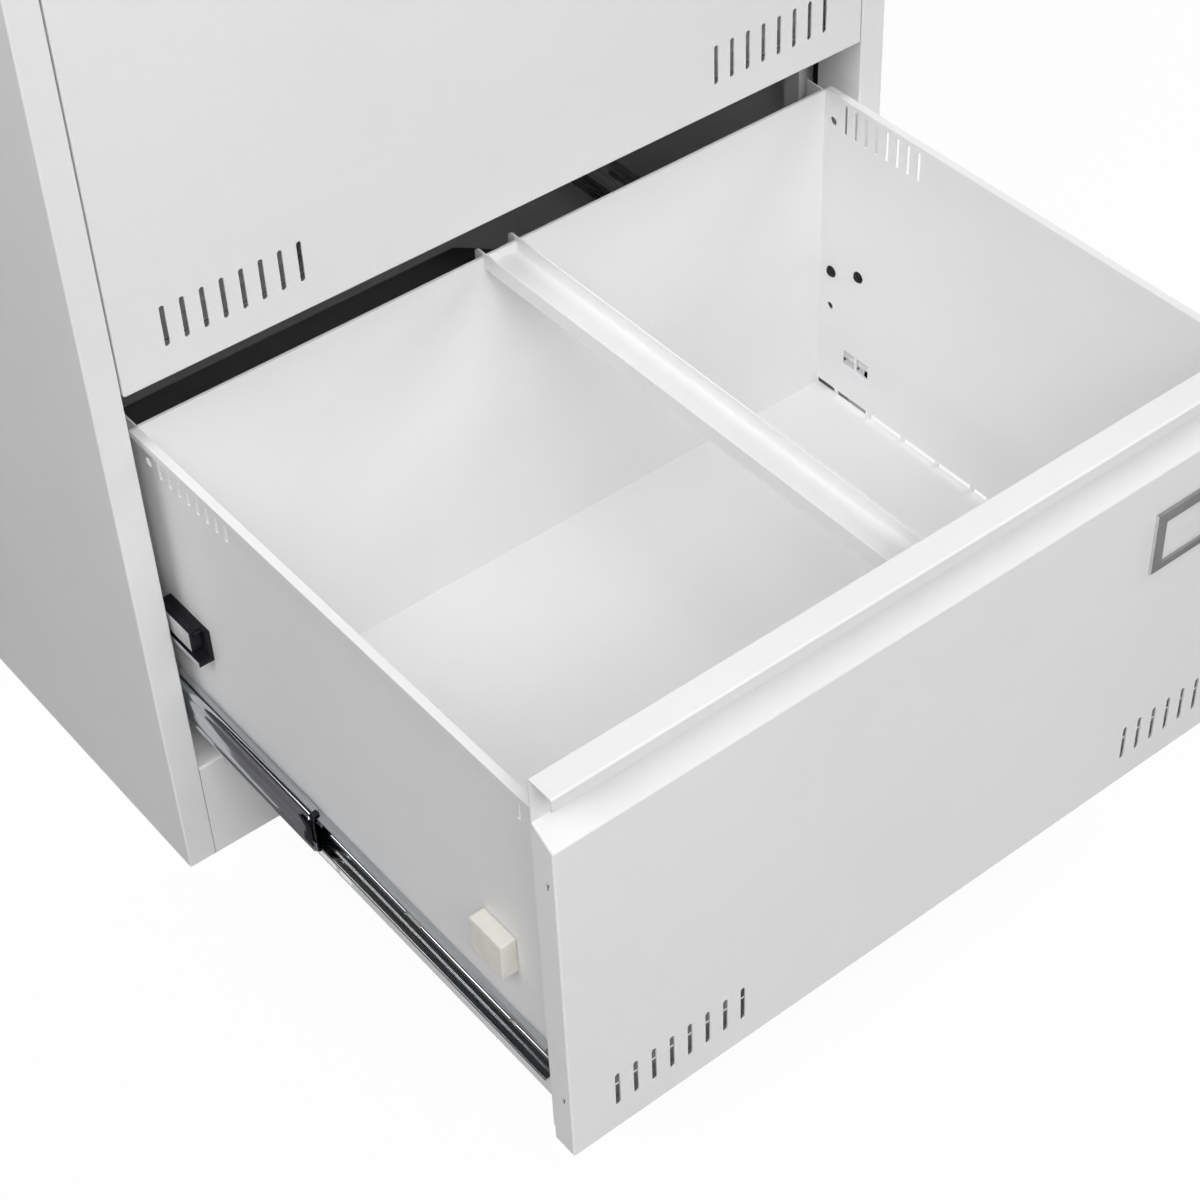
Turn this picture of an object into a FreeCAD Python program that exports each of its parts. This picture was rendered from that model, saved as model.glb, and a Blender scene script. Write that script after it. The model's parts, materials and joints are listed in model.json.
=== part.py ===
import FreeCAD, Part
import math
import os
import Sketcher

# A two-drawer lateral filing cabinet in folded sheet steel, in millimetres.
# X runs to the cabinet's right, Y from the front to the back, Z up from the floor.
# The origin lies on the floor under the middle of the whole part, with the lower
# drawer pulled out and the upper one closed.

SIZES = {
    # cabinet shell
    "cabinet_width": 600,
    "cabinet_depth": 450,
    "sheet": 1.0,
    "plinth_height": 81.5,
    "rail_return": 12,
    "top_height": 29.7,
    "top_flange": 20,
    "stile_width": 19.8,
    "stile_return": 12.5,
    "rear_flange": 15,
    "seam": 0.3,
    "rail_seam": 0.1,
    "fold_radius": 1.4,
    # gaps round the drawer fronts
    "front_gap": 3.6,
    "side_gap": 1.2,
    # opening in the cabinet's floor, measured in from its sides, front and back
    "floor_rim": 75,
    "floor_front_rim": 60,
    "floor_back_rim": 102.5,
    "floor_corner": 50,
    # uprights that carry the slides
    "upright_depth": 18.8,
    "upright_land": 29,
    "rod_groove": 19,
    "rod_groove_depth": 15.8,
    "upright_rear_land": 15,
    "rear_upright_inset": 50,
    "rear_upright_width": 30,
    "hook_width": 3.5,
    "hook_length": 14,
    "hook_pitch": 50,
    "hook_count": 11,
    "hook_start": 48,
    # interlock rods, lock and key
    "rod_thickness": 3,
    "rod_lift": 8,
    "lock_inset": 50,
    "housing_radius": 8.5,
    "housing_length": 24,
    "bezel_radius": 11,
    "bezel_thickness": 2,
    "plug_radius": 5.5,
    "plug_proud": 0.6,
    "turning_gap": 0.3,
    "cam_length": 24,
    "cam_width": 11,
    "cam_thickness": 2,
    "key_blade_length": 19,
    "key_blade_height": 7,
    "key_thickness": 2,
    "key_neck": 6,
    "key_joint": 1,
    "key_bow_radius": 11,
    "key_hole_radius": 3,
    "key_gap": 0.2,
    # base
    "foot_inset": 34,
    "foot_radius": 15,
    "foot_pad_height": 9,
    "stud_radius": 4,
    "stud_length": 46,
    "bracket_level": 26,
    "bracket_width": 40,
    "bracket_leg": 30,
    "bracket_sheet": 2.5,
    "ballast_width": 460,
    "ballast_depth": 60,
    "ballast_height": 12,
    "ballast_gap": 4,
    # wall fixing holes in the back panel
    "anchor_spacing": 400,
    "anchor_drop": 60,
    "anchor_radius": 3.5,
    # drawer front, measured from its lower edge and its face
    "front_height": 299,
    "face_height": 256.8,
    "slope_height": 10.6,
    "pull_depth": 16.2,
    "pull_overhang": 2.0,
    "lip_height": 9.4,
    "return_depth": 16.6,
    "upturn_height": 11.5,
    "vent_inset": 32.4,
    "vent_pitch": 13,
    "vent_count": 8,
    "vent_width": 3.4,
    "vent_bottom": 20.7,
    "vent_length": 28.1,
    "lance_width": 3,
    "lance_height": 7,
    "lance_depth": 6.1,
    "lance_low": 44.8,
    "lance_high": 226,
    # label holder and card
    "label_inset": 31.5,
    "label_width": 92.5,
    "label_bottom": 180.1,
    "label_height": 45.2,
    "label_border": 9.4,
    "label_lower_border": 5.3,
    "label_depth": 2.2,
    "label_wall": 1.4,
    "card_thickness": 0.5,
    "card_gap": 0.1,
    # drawer box, measured like the front
    "slide_space": 12.7,
    "liner_depth": 30,
    "box_rear_gap": 42.5,
    "box_tail": 4.8,
    "back_return": 17,
    "box_bottom": 12.25,
    "wall_top": 263.4,
    "back_top": 262.3,
    "wall_flange": 5.5,
    "wall_lip": 4.8,
    "floor_flange": 4,
    "hem_height": 6,
    "corner_radius": 7,
    # holes in the drawer's side walls, measured forward from the back panel
    "comb_start": 21,
    "comb_pitch": 10,
    "comb_count": 8,
    "comb_width": 3.0,
    "comb_length": 22.5,
    "comb_drop": 4,
    "front_comb_depth": 44,
    "dimple_radius": 3.1,
    "dimple_inset": 9,
    "dimple_drop": 21,
    "pilot_radius": 2.8,
    "pilot_inset": 11.3,
    "pilot_level": 88.8,
    "window_inset": 32.5,
    "window_width": 12,
    "window_spacing": 14,
    "window_height": 12,
    "window_level": 52,
    "floor_slot_height": 4.3,
    "floor_slot_length": 31.9,
    "floor_slot_bridge": 3.2,
    "floor_slot_count": 4,
    "floor_slot_first": 18,
    "floor_slot_last": 13.3,
    "floor_slot_inset": 1,
    # file rail
    "rail_offset": -4,
    "rail_width": 27,
    "rail_web": 254,
    "rail_top": 265.4,
    "rail_sheet": 1.2,
    "rail_gap": 0.3,
    "ear_reach": 9,
    "ear_drop": 8.4,
    "ear_radius": 4,
    # interlock blocks, their screws and the foam bumpers
    "block_front": 46,
    "block_length": 43.7,
    "block_reach": 10.8,
    "block_base": 3,
    "block_bottom": 107.9,
    "block_ledge": 4,
    "block_groove": 5,
    "block_height": 24.5,
    "block_nose": 6.5,
    "screw_head_radius": 4.7,
    "screw_head_height": 2.2,
    "screw_radius": 2,
    "screw_length": 9,
    "screw_gap": 0.15,
    "screw_rear_inset": 11.6,
    "screw_rear_level": 118.8,
    "screw_front_inset": 38.9,
    "screw_front_level": 129,
    "bumper_front": 56.3,
    "bumper_length": 29,
    "bumper_bottom": 103.9,
    "bumper_height": 25.3,
    "bumper_thickness": 11,
    # drawer slides
    "slide_level": 48.9,
    "slide_start": 28,
    "slide_rear_gap": 22,
    "slide_holdback": 11.7,
    "slide_sheet": 1.2,
    "slide_mouth": 2.2,
    "race_radius": 2.0,
    "outer_height": 45.5,
    "outer_reach": 9.5,
    "mid_height": 36,
    "mid_gap": 2.1,
    "mid_reach": 8.6,
    "mid_share": 0.4172,
    "inner_height": 29,
    "inner_reach": 7,
    "inner_start": 30.3,
    "stop_gap": 0.3,
    "stop_thickness": 1.7,
    "stop_length": 12,
    "stop_proud": 2.4,
}

DOC = FreeCAD.newDocument("filing_cabinet")
SHEET = DOC.addObject("Spreadsheet::Sheet", "Size")
for row, (alias, size) in enumerate(SIZES.items(), 1):
    SHEET.set(f"A{row}", alias)
    SHEET.set(f"B{row}", str(size))
    SHEET.setAlias(f"B{row}", alias)
DOC.recompute()

# Places that several pieces share, worked out from the sheet.
HALF = "(Size.cabinet_width / 2)"
TOP = ("(Size.plinth_height + 3 * Size.front_gap + 2 * Size.front_height"
       " + Size.top_height)")
SLIDE_LENGTH = "(Size.cabinet_depth - Size.slide_start - Size.slide_rear_gap)"
OPENING = f"({SLIDE_LENGTH} - Size.slide_holdback)"
REACH = f"({OPENING} + max(Size.pull_overhang; Size.label_depth))"
FRONT_Y = f"(({REACH} - Size.cabinet_depth) / 2)"
SHELF = "(Size.plinth_height - Size.sheet)"
UPRIGHT_X = f"({HALF} - Size.sheet - Size.upright_depth)"
UPRIGHT_TOP = f"({TOP} - Size.sheet - Size.top_flange)"
FRONT_HALF = f"({HALF} - Size.stile_width - Size.side_gap)"
BOX_HALF = f"({UPRIGHT_X} - Size.slide_space)"
INSIDE = f"({BOX_HALF} - Size.sheet)"
FLOOR = "(Size.box_bottom + Size.sheet)"
LINER_BACK = "(Size.liner_depth + Size.sheet)"
BOX_DEPTH = "(Size.cabinet_depth - Size.box_rear_gap)"
BOX_END = f"({BOX_DEPTH} + Size.box_tail)"
REAR_UPRIGHT = "(Size.cabinet_depth - Size.rear_upright_inset)"
GROOVE_START = "(Size.stile_return + Size.upright_land)"
GROOVE_END = f"({GROOVE_START} + Size.rod_groove)"
LOCK_X = f"({HALF} - Size.lock_inset)"
LOCK_Z = f"({TOP} - Size.top_height / 2)"

SIDES = {"left": -1, "right": 1}
SAME_PLACE = 0.01
NODES = []


def value(expression):
    """The number that an expression of the sheet gives now."""
    return float(SHEET.evalExpression(str(expression)))


def check(feature):
    """Stop if a feature has failed."""
    if "Invalid" in feature.State or "Error" in feature.State:
        raise RuntimeError(f"{feature.Label} failed: {feature.State}")


def place(item, x="0", y=FRONT_Y, z="0"):
    """Bind the place of an object to expressions."""
    for axis, expression in zip("xyz", (x, y, z)):
        item.setExpression(f"Placement.Base.{axis}", str(expression))


def node(item, label):
    """Keep an object as a finished sub-part of its own name."""
    item.Label = label
    NODES.append(item)
    return item


def new_body(label, x="0", y=FRONT_Y, z="0"):
    """A body for one sub-part, in the cabinet's or a drawer's own coordinates."""
    body = DOC.addObject("PartDesign::Body", label)
    place(body, x, y, z)
    return node(body, label)


def polygon(sketch, points):
    """Draw a closed outline with every corner bound to its pair of expressions."""
    corners = [FreeCAD.Vector(value(a), value(b), 0) for a, b in points]
    first = sketch.GeometryCount
    count = len(corners)
    for i in range(count):
        sketch.addGeometry(Part.LineSegment(corners[i], corners[(i + 1) % count]), False)
    for i in range(count):
        sketch.addConstraint(Sketcher.Constraint("Coincident", first + i, 2, first + (i + 1) % count, 1))
    for i, point in enumerate(points):
        for kind, expression, size in zip(("DistanceX", "DistanceY"), point, corners[i]):
            index = sketch.addConstraint(Sketcher.Constraint(kind, -1, 1, first + i, 1, size))
            sketch.setExpression(f"Constraints[{index}]", str(expression))


def bind_centre(sketch, curve, x, y):
    """Bind the centre of a circle or arc to a pair of expressions."""
    for kind, expression in (("DistanceX", x), ("DistanceY", y)):
        index = sketch.addConstraint(Sketcher.Constraint(kind, -1, 1, curve, 3, value(expression)))
        sketch.setExpression(f"Constraints[{index}]", str(expression))


def circle(sketch, x, y, radius):
    """Draw a circle whose centre and radius are bound to expressions."""
    centre = FreeCAD.Vector(value(x), value(y), 0)
    up = FreeCAD.Vector(0, 0, 1)
    curve = sketch.addGeometry(Part.Circle(centre, up, value(radius)), False)
    bind_centre(sketch, curve, x, y)
    index = sketch.addConstraint(Sketcher.Constraint("Radius", curve, value(radius)))
    sketch.setExpression(f"Constraints[{index}]", str(radius))


def slot(sketch, x, bottom, width, length):
    """Draw an upright slot with round ends."""
    radius = f"({width}) / 2"
    ends = (f"{bottom} + {length} - {radius}", f"{bottom} + {radius}")
    r = value(radius)
    up = FreeCAD.Vector(0, 0, 1)
    arcs = []
    for end, turn in zip(ends, (0, math.pi)):
        round_end = Part.Circle(FreeCAD.Vector(value(x), value(end), 0), up, r)
        arcs.append(sketch.addGeometry(Part.ArcOfCircle(round_end, turn, turn + math.pi), False))
    high, low = value(ends[0]), value(ends[1])
    left = Part.LineSegment(FreeCAD.Vector(value(x) - r, high, 0), FreeCAD.Vector(value(x) - r, low, 0))
    right = Part.LineSegment(FreeCAD.Vector(value(x) + r, low, 0), FreeCAD.Vector(value(x) + r, high, 0))
    left_line = sketch.addGeometry(left, False)
    right_line = sketch.addGeometry(right, False)
    joins = ((arcs[0], 2, left_line, 1), (left_line, 2, arcs[1], 1),
             (arcs[1], 2, right_line, 1), (right_line, 2, arcs[0], 1))
    for join in joins:
        sketch.addConstraint(Sketcher.Constraint("Tangent", *join))
    sketch.addConstraint(Sketcher.Constraint("Equal", arcs[0], arcs[1]))
    for arc, end in zip(arcs, ends):
        bind_centre(sketch, arc, x, end)
    index = sketch.addConstraint(Sketcher.Constraint("Radius", arcs[0], r))
    sketch.setExpression(f"Constraints[{index}]", radius)


def round_corner(sketch, x, y, radius):
    """Draw what rounding takes off an upper right corner."""
    cx, cy, r = value(x) - value(radius), value(y) - value(radius), value(radius)
    tip = FreeCAD.Vector(value(x), value(y), 0)
    top = sketch.addGeometry(Part.LineSegment(FreeCAD.Vector(cx, tip.y, 0), tip), False)
    edge = sketch.addGeometry(Part.LineSegment(tip, FreeCAD.Vector(tip.x, cy, 0)), False)
    quarter = Part.Circle(FreeCAD.Vector(cx, cy, 0), FreeCAD.Vector(0, 0, 1), r)
    arc = sketch.addGeometry(Part.ArcOfCircle(quarter, 0, math.pi / 2), False)
    sketch.addConstraint(Sketcher.Constraint("Coincident", top, 2, edge, 1))
    sketch.addConstraint(Sketcher.Constraint("Tangent", edge, 2, arc, 1))
    sketch.addConstraint(Sketcher.Constraint("Tangent", arc, 2, top, 1))
    sketch.addConstraint(Sketcher.Constraint("Horizontal", top))
    sketch.addConstraint(Sketcher.Constraint("Vertical", edge))
    index = sketch.addConstraint(Sketcher.Constraint("Radius", arc, r))
    sketch.setExpression(f"Constraints[{index}]", radius)
    for kind, expression in (("DistanceX", x), ("DistanceY", y)):
        index = sketch.addConstraint(Sketcher.Constraint(kind, -1, 1, top, 2, value(expression)))
        sketch.setExpression(f"Constraints[{index}]", str(expression))


def rectangle(x0, y0, x1, y1):
    """The corners of a rectangle."""
    return [(x0, y0), (x1, y0), (x1, y1), (x0, y1)]


def centred(x, y, width, height):
    """The corners of a rectangle round its centre."""
    return rectangle(f"{x} - {width} / 2", f"{y} - {height} / 2", f"{x} + {width} / 2", f"{y} + {height} / 2")


def strip(path, thickness="Size.sheet"):
    """The closed outline of a sheet folded at right angles along a path, on the path's left."""
    points = [(value(a), value(b)) for a, b in path]
    normals = []
    for (ax, ay), (bx, by) in zip(points, points[1:]):
        normals.append((-((by > ay) - (by < ay)), (bx > ax) - (bx < ax)))
    offsets = [normals[0]]
    for one, two in zip(normals, normals[1:]):
        offsets.append((one[0] + two[0], one[1] + two[1]))
    offsets.append(normals[-1])
    inner = []
    for (a, b), (u, v) in zip(path, offsets):
        inner.append((f"{a} + {u} * {thickness}", f"{b} + {v} * {thickness}"))
    return path + inner[::-1]


def mirrored(points, side):
    """The same outline on the left or the right side of the cabinet."""
    return [(f"{side} * ({x})", y) for x, y in points]


def new_sketch(body, role, start, draw):
    """A sketch on one of the body's own origin planes, moved along the plane's axis."""
    sketch = body.newObject("Sketcher::SketchObject", body.Name + "_sketch")
    plane = next(item for item in body.Origin.OriginFeatures if item.Role == role)
    sketch.AttachmentSupport = (plane, [""])
    sketch.MapMode = "FlatFace"
    facing = -1 if role == "XZ_Plane" else 1
    sketch.setExpression("AttachmentOffset.Base.z", f"{facing} * ({start})")
    draw(sketch)
    return sketch


def polygons(*outlines):
    """A drawing of several closed outlines."""
    def draw(sketch):
        for outline in outlines:
            polygon(sketch, outline)
    return draw


def pad(body, role, start, length, draw):
    """Add material from start, along the plane's axis in the positive direction."""
    sketch = new_sketch(body, role, start, draw)
    feature = body.newObject("PartDesign::Pad", body.Name + "_pad")
    feature.Profile = sketch
    feature.setExpression("Length", str(length))
    feature.Reversed = role == "XZ_Plane"
    DOC.recompute()
    check(feature)
    return feature


def pocket(body, role, start, length, draw):
    """Cut material from start, along the plane's axis in the positive direction."""
    before = body.Shape.Volume
    sketch = new_sketch(body, role, start, draw)
    feature = body.newObject("PartDesign::Pocket", body.Name + "_pocket")
    feature.Profile = sketch
    feature.setExpression("Length", str(length))
    feature.Reversed = role != "XZ_Plane"
    DOC.recompute()
    check(feature)
    if body.Shape.Volume >= before:
        raise RuntimeError(f"{body.Label}: a pocket cut nothing")
    return feature


def repeat(body, feature, axis, pitch, count, backwards=False):
    """Repeat a cut along an axis of its own sketch."""
    pattern = body.newObject("PartDesign::LinearPattern", body.Name + "_pattern")
    pattern.Originals = [feature]
    pattern.Direction = (feature.Profile[0], [axis])
    pattern.Reversed = backwards
    pattern.setExpression("Length", f"{pitch} * ({count} - 1)")
    pattern.setExpression("Occurrences", count)
    body.Tip = pattern
    DOC.recompute()
    check(pattern)


def round_folds(body, axis, places, radius="Size.fold_radius"):
    """Round the straight edges that run along an axis through the given places."""
    base = body.Tip
    wanted = [(value(a), value(b)) for a, b in places]
    names = []
    for number, edge in enumerate(base.Shape.Edges, 1):
        ends = [vertex.Point for vertex in edge.Vertexes]
        if len(ends) != 2:
            continue
        spots = []
        for end in ends:
            spot = list(end)
            spot.pop(axis)
            spots.append(spot)
        for spot in wanted:
            if all(math.dist(spot, end) < SAME_PLACE for end in spots):
                names.append(f"Edge{number}")
    feature = body.newObject("PartDesign::Fillet", body.Name + "_folds")
    feature.Base = (base, names)
    feature.setExpression("Radius", radius)
    DOC.recompute()
    check(feature)


def block(name, low, size):
    """A box with its low corner and its size bound to expressions."""
    box = DOC.addObject("Part::Box", name)
    place(box, *low)
    for prop, expression in zip(("Length", "Width", "Height"), size):
        box.setExpression(prop, str(expression))
    return box


def rod(name, axis, start, radius, length):
    """A cylinder along X, Y or Z from its start."""
    cylinder = DOC.addObject("Part::Cylinder", name)
    turns = {"X": FreeCAD.Rotation(FreeCAD.Vector(0, 1, 0), 90),
             "Y": FreeCAD.Rotation(FreeCAD.Vector(1, 0, 0), -90),
             "Z": FreeCAD.Rotation()}
    cylinder.Placement = FreeCAD.Placement(FreeCAD.Vector(), turns[axis])
    place(cylinder, *start)
    cylinder.setExpression("Radius", str(radius))
    cylinder.setExpression("Height", str(length))
    return cylinder


def joined(name, pieces):
    """One solid from several that meet."""
    fuse = DOC.addObject("Part::MultiFuse", name)
    fuse.Shapes = pieces
    return fuse


def cut(name, base, tool):
    """One solid less another."""
    result = DOC.addObject("Part::Cut", name)
    result.Base = base
    result.Tool = tool
    return result


def group(label, pieces):
    """Several separate, alike solids kept under one name."""
    compound = DOC.addObject("Part::Compound", label)
    compound.Links = pieces
    return node(compound, label)


# Cabinet shell

def side_panel(name, side):
    """A folded side with its front stile, the stile's return and the rear flange."""
    body = new_body(f"{name}_side_panel")
    inner_edge = f"{HALF} - Size.stile_width"
    path = [(inner_edge, "Size.stile_return"), (inner_edge, "0"), (HALF, "0"),
            (HALF, "Size.cabinet_depth"), (f"{HALF} - Size.rear_flange", "Size.cabinet_depth")]
    outline = mirrored(strip(path), side)
    pad(body, "XY_Plane", "0", f"{TOP} - Size.sheet", polygons(outline))
    corners = [(inner_edge, "0"), (HALF, "0"), (HALF, "Size.cabinet_depth")]
    round_folds(body, 2, mirrored(corners, side))


def back_panel():
    """A flat sheet against the rear flanges, with the holes for a wall fixing."""
    body = new_body("back_panel")
    edge = f"({HALF} - Size.sheet - Size.seam)"
    outline = rectangle(f"-{edge}", "0", edge, f"{TOP} - Size.sheet")
    pad(body, "XZ_Plane", "Size.cabinet_depth - 2 * Size.sheet", "Size.sheet", polygons(outline))

    def anchors(sketch):
        for side in SIDES.values():
            x = f"{side} * Size.anchor_spacing / 2"
            circle(sketch, x, f"{TOP} - Size.anchor_drop", "Size.anchor_radius")

    pocket(body, "XZ_Plane", "Size.cabinet_depth - 3 * Size.sheet", "3 * Size.sheet", anchors)


def top_panel():
    """The top sheet, with a flange down the inside of each side panel."""
    body = new_body("top_panel")
    edge = f"({HALF} - Size.sheet)"
    sheet = rectangle(f"-{HALF}", "0", HALF, "Size.cabinet_depth")
    pad(body, "XY_Plane", f"{TOP} - Size.sheet", "Size.sheet", polygons(sheet))
    flanges = []
    for side in SIDES.values():
        flange = rectangle(f"{edge} - Size.sheet", f"{UPRIGHT_TOP}", edge, f"{TOP} - Size.sheet")
        flanges.append(mirrored(flange, side))
    start = "Size.stile_return"
    length = "Size.cabinet_depth - Size.stile_return - 3 * Size.sheet"
    pad(body, "XZ_Plane", start, length, polygons(*flanges))


def bottom_panel():
    """The floor of the cabinet, level with the plinth's upper return, with its wide opening."""
    body = new_body("bottom_panel")
    edge = f"({HALF} - Size.sheet)"
    stile = f"({HALF} - Size.stile_width - Size.seam)"
    points = [(f"-{stile}", "Size.sheet"), (stile, "Size.sheet"), (stile, "Size.stile_return"),
              (edge, "Size.stile_return"), (edge, "Size.cabinet_depth - 2 * Size.sheet"),
              (f"-{edge}", "Size.cabinet_depth - 2 * Size.sheet"), (f"-{edge}", "Size.stile_return"),
              (f"-{stile}", "Size.stile_return")]
    pad(body, "XY_Plane", f"{SHELF} - Size.sheet", "Size.sheet", polygons(points))
    x, corner = f"({HALF} - Size.floor_rim)", "Size.floor_corner"
    front, back = "Size.floor_front_rim", "(Size.cabinet_depth - Size.floor_back_rim)"
    right = [(f"{x} - {corner}", front), (x, f"{front} + {corner}"), (x, f"{back} - {corner}"),
             (f"{x} - {corner}", back)]
    left = mirrored(right, -1)
    pocket(body, "XY_Plane", f"{SHELF} - 2 * Size.sheet", "3 * Size.sheet", polygons(right + left[::-1]))


def plinth_rail():
    """The folded front of the base, between the stiles."""
    body = new_body("plinth_rail")
    path = [("Size.rail_return", "0"), ("0", "0"), ("0", "Size.plinth_height"),
            ("Size.rail_return", "Size.plinth_height")]
    outline = strip(path[::-1])
    edge = f"({HALF} - Size.stile_width - Size.rail_seam)"
    pad(body, "YZ_Plane", f"-{edge}", f"2 * {edge}", polygons(outline))
    round_folds(body, 0, [("0", "Size.plinth_height")])


def top_rail():
    """The folded header above the upper drawer, with the hole for the lock."""
    body = new_body("top_rail")
    low = f"({TOP} - Size.top_height)"
    path = [("Size.rail_return", low), ("0", low), ("0", f"{TOP} - Size.sheet"),
            ("Size.rail_return", f"{TOP} - Size.sheet")]
    edge = f"({HALF} - Size.stile_width - Size.rail_seam)"
    pad(body, "YZ_Plane", f"-{edge}", f"2 * {edge}", polygons(strip(path[::-1])))
    round_folds(body, 0, [("0", low)])

    def lock_hole(sketch):
        circle(sketch, LOCK_X, LOCK_Z, "Size.housing_radius + Size.seam")

    pocket(body, "XZ_Plane", "-Size.sheet", "3 * Size.sheet", lock_hole)


def hooks(body, face_y, side):
    """A column of slots for the slides' hooks in an upright's inner face."""
    def draw(sketch):
        bottom = f"{SHELF} + Size.hook_start"
        slot(sketch, face_y, bottom, "Size.hook_width", "Size.hook_length")

    start = f"{UPRIGHT_X} - Size.sheet" if side > 0 else f"-{UPRIGHT_X} - 2 * Size.sheet"
    cut_slot = pocket(body, "YZ_Plane", start, "3 * Size.sheet", draw)
    repeat(body, cut_slot, "V_Axis", "Size.hook_pitch", "Size.hook_count")


def front_upright(name, side):
    """Two lands that carry the slide, with the groove for the interlock rod between them."""
    body = new_body(f"upright_front_{name}")
    outside = f"({HALF} - Size.sheet)"
    groove = f"({UPRIGHT_X} + Size.rod_groove_depth)"
    end = f"({GROOVE_END} + Size.upright_rear_land)"
    path = [(outside, "Size.stile_return"), (UPRIGHT_X, "Size.stile_return"), (UPRIGHT_X, GROOVE_START),
            (groove, GROOVE_START), (groove, GROOVE_END), (UPRIGHT_X, GROOVE_END), (UPRIGHT_X, end),
            (outside, end)]
    outline = mirrored(strip(path[::-1]), side)
    pad(body, "XY_Plane", SHELF, f"{UPRIGHT_TOP} - {SHELF}", polygons(outline))
    hooks(body, f"{GROOVE_END} + Size.upright_rear_land / 2", side)


def rear_upright(name, side):
    """A channel against the side panel near the back."""
    body = new_body(f"upright_rear_{name}")
    outside = f"({HALF} - Size.sheet)"
    end = f"{REAR_UPRIGHT} + Size.rear_upright_width"
    path = [(outside, REAR_UPRIGHT), (UPRIGHT_X, REAR_UPRIGHT), (UPRIGHT_X, end),
            (outside, end)]
    outline = mirrored(strip(path[::-1]), side)
    pad(body, "XY_Plane", SHELF, f"{UPRIGHT_TOP} - {SHELF}", polygons(outline))
    hooks(body, f"{REAR_UPRIGHT} + Size.rear_upright_width / 2", side)


def interlock_rod(name, side):
    """A flat bar in the upright's groove, free to rise when the lock turns."""
    body = new_body(f"interlock_rod_{name}")
    back = f"({UPRIGHT_X} + Size.rod_groove_depth - Size.turning_gap)"
    outline = rectangle(f"{back} - Size.rod_thickness", f"{GROOVE_START} + Size.turning_gap",
                        back, f"{GROOVE_END} - Size.turning_gap")
    length = f"{UPRIGHT_TOP} - {SHELF} - 2 * Size.turning_gap - Size.rod_lift"
    pad(body, "XY_Plane", f"{SHELF} + Size.turning_gap", length, polygons(mirrored(outline, side)))


# Lock and key

def lock_housing():
    """The fixed barrel and its bezel, bored for the plug."""
    depth = "Size.housing_length + Size.bezel_thickness"
    y = f"{FRONT_Y} - Size.bezel_thickness"
    bezel = rod("bezel", "Y", (LOCK_X, y, LOCK_Z), "Size.bezel_radius", "Size.bezel_thickness")
    barrel = rod("barrel", "Y", (LOCK_X, y, LOCK_Z), "Size.housing_radius", depth)
    bore = rod("lock_bore", "Y", (LOCK_X, y, LOCK_Z), "Size.plug_radius + Size.turning_gap", depth)
    node(cut("lock_housing", joined("lock_body", [bezel, barrel]), bore), "lock_housing")


def lock_plug():
    """The turning plug, with the keyway in its face."""
    front = f"({FRONT_Y} - Size.bezel_thickness - Size.plug_proud)"
    length = "Size.plug_proud + Size.bezel_thickness + Size.housing_length + Size.turning_gap"
    plug = rod("plug", "Y", (LOCK_X, front, LOCK_Z), "Size.plug_radius", length)
    wide = "(Size.key_thickness + 2 * Size.key_gap)"
    high = "(Size.key_blade_height + 2 * Size.key_gap)"
    keyway = block("keyway", (f"{LOCK_X} - {wide} / 2", front, f"{LOCK_Z} - {high} / 2"),
                   (wide, "Size.key_blade_length + Size.key_gap", high))
    node(cut("lock_plug", plug, keyway), "lock_plug")


def lock_cam():
    """The flat cam on the back of the plug."""
    start = f"({FRONT_Y} + Size.housing_length + Size.turning_gap)"
    hub = rod("cam_hub", "Y", (LOCK_X, start, LOCK_Z), "Size.cam_width / 2", "Size.cam_thickness")
    arm = block("cam_arm", (LOCK_X, start, f"{LOCK_Z} - Size.cam_width / 2"),
                ("Size.cam_length", "Size.cam_thickness", "Size.cam_width"))
    node(joined("lock_cam", [hub, arm]), "lock_cam")


def key():
    """The key in the lock: a blade in the keyway, a neck and a round bow."""
    face = f"({FRONT_Y} - Size.bezel_thickness - Size.plug_proud)"
    left = f"{LOCK_X} - Size.key_thickness / 2"
    blade = block("blade", (left, f"{face} - Size.key_neck", f"{LOCK_Z} - Size.key_blade_height / 2"),
                  ("Size.key_thickness", "Size.key_neck + Size.key_blade_length", "Size.key_blade_height"))
    bow_y = f"{face} - Size.key_neck - Size.key_bow_radius + Size.key_joint"
    bow = rod("bow", "X", (left, bow_y, LOCK_Z), "Size.key_bow_radius", "Size.key_thickness")
    hole_y = f"{bow_y} - Size.key_bow_radius / 2"
    hole = rod("key_hole", "X", (left, hole_y, LOCK_Z), "Size.key_hole_radius", "Size.key_thickness")
    node(cut("key", joined("key_blank", [blade, bow]), hole), "key")


# Base

def foot_places():
    """The left and right, front and back places of the levelling feet."""
    for name, side in SIDES.items():
        for end, y in (("front", "Size.foot_inset"), ("back", "Size.cabinet_depth - Size.foot_inset")):
            yield f"{name}_{end}", side, f"({FRONT_Y} + {y})"


def levelling_feet():
    """Four round pads on threaded studs."""
    feet = []
    for name, side, y in foot_places():
        x = f"{side} * ({HALF} - Size.sheet - Size.bracket_leg / 2 - Size.bracket_sheet / 2)"
        pad_disc = rod(f"pad_{name}", "Z", (x, y, "0"), "Size.foot_radius", "Size.foot_pad_height")
        stud = rod(f"stud_{name}", "Z", (x, y, "0"), "Size.stud_radius", "Size.stud_length")
        feet.append(joined(f"foot_{name}", [pad_disc, stud]))
    group("levelling_feet", feet)


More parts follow.
